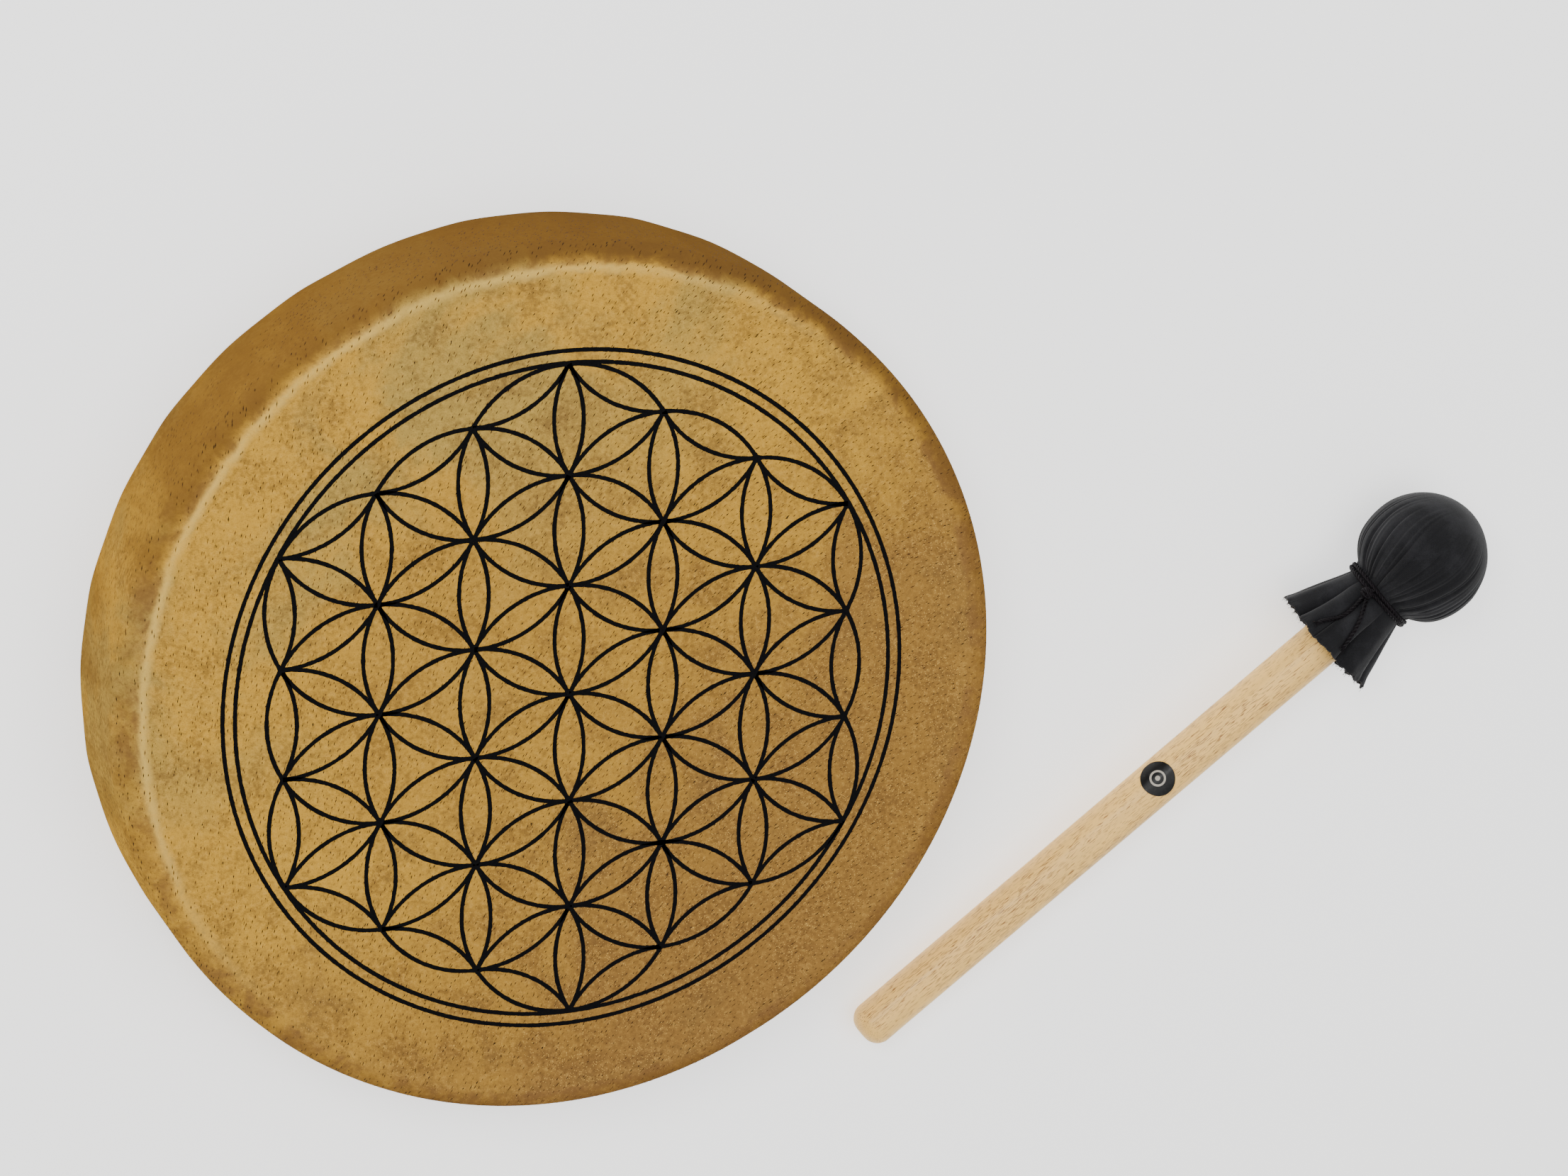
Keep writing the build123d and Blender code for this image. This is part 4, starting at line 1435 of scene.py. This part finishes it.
def make_tie():
    """The twisted cord that gathers the cover: two turns, a knot and two frayed ends."""
    sizes = bpy.context.scene.drum_beater
    finish = bpy.context.scene.drum_finish
    dark = times(finish.cord, 0.4)
    paint = rawhide_paint("tie_cord", finish.cord, dark, 0.12)
    along, side, up = beater_axes()
    bm = bmesh.new()
    for shift, wave in ((-sizes.tie / 2, 0.0), (sizes.tie * 0.45, 2.1)):
        line = []
        for step in range(150):
            turn = math.tau * step / 150
            sway = 0.28 * MM * math.sin(turn * 2 + wave)
            line.append(
                on_beater(
                    sizes.neck_at + shift + sway - neck_sag(turn),
                    turn,
                    sizes.neck + sizes.tie / 2 + 0.1 * MM,
                )
            )
        twisted(bm, line, sizes.tie, along, closed=True)
    add_cord("tie_turns", bm, "tie_cord", paint)

    low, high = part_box("tie_knot")
    centre = (low + high) / 2 + along * 0.7 * MM
    outwards = side * math.cos(sizes.tie_turn) + up * math.sin(sizes.tie_turn)
    round_it = along.cross(outwards)
    points = []
    for step in range(26):
        turn = math.tau * step / 13
        reach = 2.0 * MM
        points.append(
            centre + round_it * reach * math.cos(turn) + along * reach * math.sin(turn) * 0.9
            + outwards * (step / 25 - 0.5) * 2.2 * MM
        )
    bm = bmesh.new()
    twisted(bm, even_points(route_points(points, 4), 0.5 * MM), sizes.tie * 0.92, outwards)
    points = [
        centre - round_it * 1.6 * MM - along * 1.6 * MM - outwards * 0.6 * MM,
        centre - round_it * 2.4 * MM + outwards * 1.0 * MM,
        centre + outwards * 1.9 * MM + along * 0.3 * MM,
        centre + round_it * 2.4 * MM + outwards * 0.9 * MM,
        centre + round_it * 1.6 * MM + along * 1.6 * MM - outwards * 0.6 * MM,
    ]
    twisted(bm, even_points(route_points(points, 6), 0.5 * MM), sizes.tie * 0.95, along)
    add_cord("tie_loop", bm, "tie_knot", paint)

    chance = random.Random(3)
    for name, places in TAILS.items():
        points = [on_beater(a * MM, math.radians(t), r * MM) for a, t, r in places]
        line = even_points(route_points(points, 10), 0.5 * MM)
        line = lie_on(bpy.data.objects["cloth_cover"], line, sizes.tie * 0.52)
        bm = bmesh.new()
        twisted(bm, line, sizes.tie, Vector((0, 0, 1)))
        tip, ahead = line[-1], (line[-1] - line[-4]).normalized()
        for _ in range(14):
            spread = Vector([chance.uniform(-1, 1) for _ in range(3)]) * 0.45
            root = tip + spread * 1.6 * MM - ahead * 0.8 * MM
            end = root + (ahead + spread).normalized() * chance.uniform(1.6, 3.0) * MM
            sweep(bm, [root, end], strip_section(0.22 * MM, 0.22 * MM, 0), Vector((0.1, 0.2, 1)))
        add_cord("tie_end_" + name, bm, "tie_tail_" + name, paint)


def make_hem():
    """Loose threads along the cover's cut hem."""
    hem_band = 2.6 * MM
    sizes = bpy.context.scene.drum_beater
    cover = bpy.data.objects["cloth_cover"]
    along, side, up = beater_axes()
    butt = Vector(sizes.butt)
    chance = random.Random(5)
    edge = []
    for vertex in cover.data.vertices:
        spot = vertex.co - butt
        drop = hem_drop(math.atan2(spot.dot(up), spot.dot(side)))
        if spot.dot(along) < sizes.hem_at + hem_band - drop:
            edge.append(vertex.co.copy())
    bm = bmesh.new()
    for _ in range(260):
        root = chance.choice(edge)
        away = (root - butt) - along * (root - butt).dot(along)
        spread = Vector([chance.uniform(-1, 1) for _ in range(3)]) * 0.5
        heading = (-along + spread + away.normalized() * 0.05).normalized()
        end = root + heading * chance.uniform(0.6, 2.2) * MM
        end.z = max(end.z, 0.15 * MM)
        root = root + along * 0.4 * MM
        section = strip_section(0.16 * MM, 0.16 * MM, 0)
        sweep(bm, [root, (root + end) / 2 + spread * 0.3 * MM, end], lambda _: section(0)[::2],
              Vector((0.13, 0.2, 1)))
    threads = piece_from("hem_threads", bm, outwards=True)
    dress(threads, rawhide_paint("hem_thread", (0.014, 0.014, 0.016), (0.006, 0.006, 0.006), 0.1))
    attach(threads, "beater")


# --------------------------------------------------------------- operators
class DRUM_OT_stage(bpy.types.Operator):
    """Lays the pale floor, hangs the soft lights and sets the camera"""

    bl_idname = "drum.stage"
    bl_label = "Studio"

    def execute(self, context):
        make_camera()
        deselect_all()
        bpy.ops.mesh.primitive_plane_add(size=12, location=(0.1, 0, 0))
        floor = context.object
        floor.name = "studio_floor"
        bpy.ops.object.transform_apply(location=True, rotation=True, scale=True)
        dress(floor, floor_paint())
        make_light("key_light", (-1.1, 1.2, 2.2), (0.1, 0, 0), 1.1, 44)
        make_light("top_light", (0.4, 0.2, 2.6), (0.15, 0, 0), 2.4, 34)
        make_light("fill_light", (1.6, -1.4, 1.4), (0.1, -0.05, 0), 2.0, 8)
        world = bpy.data.worlds.new("studio_air")
        world.use_nodes = True
        air = world.node_tree.nodes["Background"]
        air.inputs["Color"].default_value = (1.0, 1.0, 1.0, 1)
        air.inputs["Strength"].default_value = 0.55
        context.scene.world = world
        return {"FINISHED"}


class DRUM_OT_skin(bpy.types.Operator):
    """Stretches the goatskin over the hoop, with its corners and its slits"""

    bl_idname = "drum.skin"
    bl_label = "Goatskin"

    def execute(self, context):
        make_skin()
        make_hair()
        return {"FINISHED"}


class DRUM_OT_print(bpy.types.Operator):
    """Prints the interlaced circles on the head"""

    bl_idname = "drum.print"
    bl_label = "Print"

    def execute(self, context):
        make_print()
        return {"FINISHED"}


class DRUM_OT_hoop(bpy.types.Operator):
    """Gives the hoop's plies their timber"""

    bl_idname = "drum.hoop"
    bl_label = "Hoop"

    def execute(self, context):
        make_hoop()
        return {"FINISHED"}


class DRUM_OT_lacing(bpy.types.Operator):
    """Laces the skin to the hand ring and ties the lace off"""

    bl_idname = "drum.lacing"
    bl_label = "Lacing"

    def execute(self, context):
        make_lace()
        return {"FINISHED"}


class DRUM_OT_ring(bpy.types.Operator):
    """Covers the hand ring with stitched leather"""

    bl_idname = "drum.ring"
    bl_label = "Hand ring"

    def execute(self, context):
        make_ring()
        return {"FINISHED"}


class DRUM_OT_handle(bpy.types.Operator):
    """Finishes the beater's handle and its badge"""

    bl_idname = "drum.handle"
    bl_label = "Handle"

    def execute(self, context):
        make_handle()
        return {"FINISHED"}


class DRUM_OT_head(bpy.types.Operator):
    """Pads the beater's ball and gathers the cloth over it"""

    bl_idname = "drum.head"
    bl_label = "Beater head"

    def execute(self, context):
        make_padding()
        make_cover()
        make_hem()
        return {"FINISHED"}


class DRUM_OT_tie(bpy.types.Operator):
    """Ties the cover at its neck with twisted cord"""

    bl_idname = "drum.tie"
    bl_label = "Tie"

    def execute(self, context):
        make_tie()
        return {"FINISHED"}


STEPS = (
    DRUM_OT_stage,
    DRUM_OT_skin,
    DRUM_OT_print,
    DRUM_OT_hoop,
    DRUM_OT_lacing,
    DRUM_OT_ring,
    DRUM_OT_handle,
    DRUM_OT_head,
    DRUM_OT_tie,
)


class DRUM_PT_panel(bpy.types.Panel):
    """The drum's pieces and sizes"""

    bl_idname = "DRUM_PT_panel"
    bl_label = "Frame drum"
    bl_space_type = "VIEW_3D"
    bl_region_type = "UI"
    bl_category = "Drum"

    def draw(self, context):
        scene = context.scene
        for settings in (scene.drum_sizes, scene.drum_beater, scene.drum_finish, scene.drum_studio):
            column = self.layout.column(align=True)
            for name in type(settings).__annotations__:
                column.prop(settings, name)
        for step in STEPS:
            self.layout.operator(step.bl_idname)


SETTINGS = {
    "drum_sizes": DrumSizes,
    "drum_beater": BeaterSizes,
    "drum_finish": FinishColours,
    "drum_studio": StudioSettings,
}


def register():
    for kind in (*SETTINGS.values(), *STEPS, DRUM_PT_panel):
        bpy.utils.register_class(kind)
    for name, kind in SETTINGS.items():
        setattr(bpy.types.Scene, name, bpy.props.PointerProperty(type=kind))


def unregister():
    for name in SETTINGS:
        delattr(bpy.types.Scene, name)
    for kind in reversed((*SETTINGS.values(), *STEPS, DRUM_PT_panel)):
        bpy.utils.unregister_class(kind)


def main():
    register()
    bpy.ops.drum.stage()
    bpy.ops.drum.skin()
    bpy.ops.drum.print()
    bpy.ops.drum.hoop()
    bpy.ops.drum.lacing()
    bpy.ops.drum.ring()
    bpy.ops.drum.handle()
    bpy.ops.drum.head()
    bpy.ops.drum.tie()


if __name__ == "__main__":
    main()
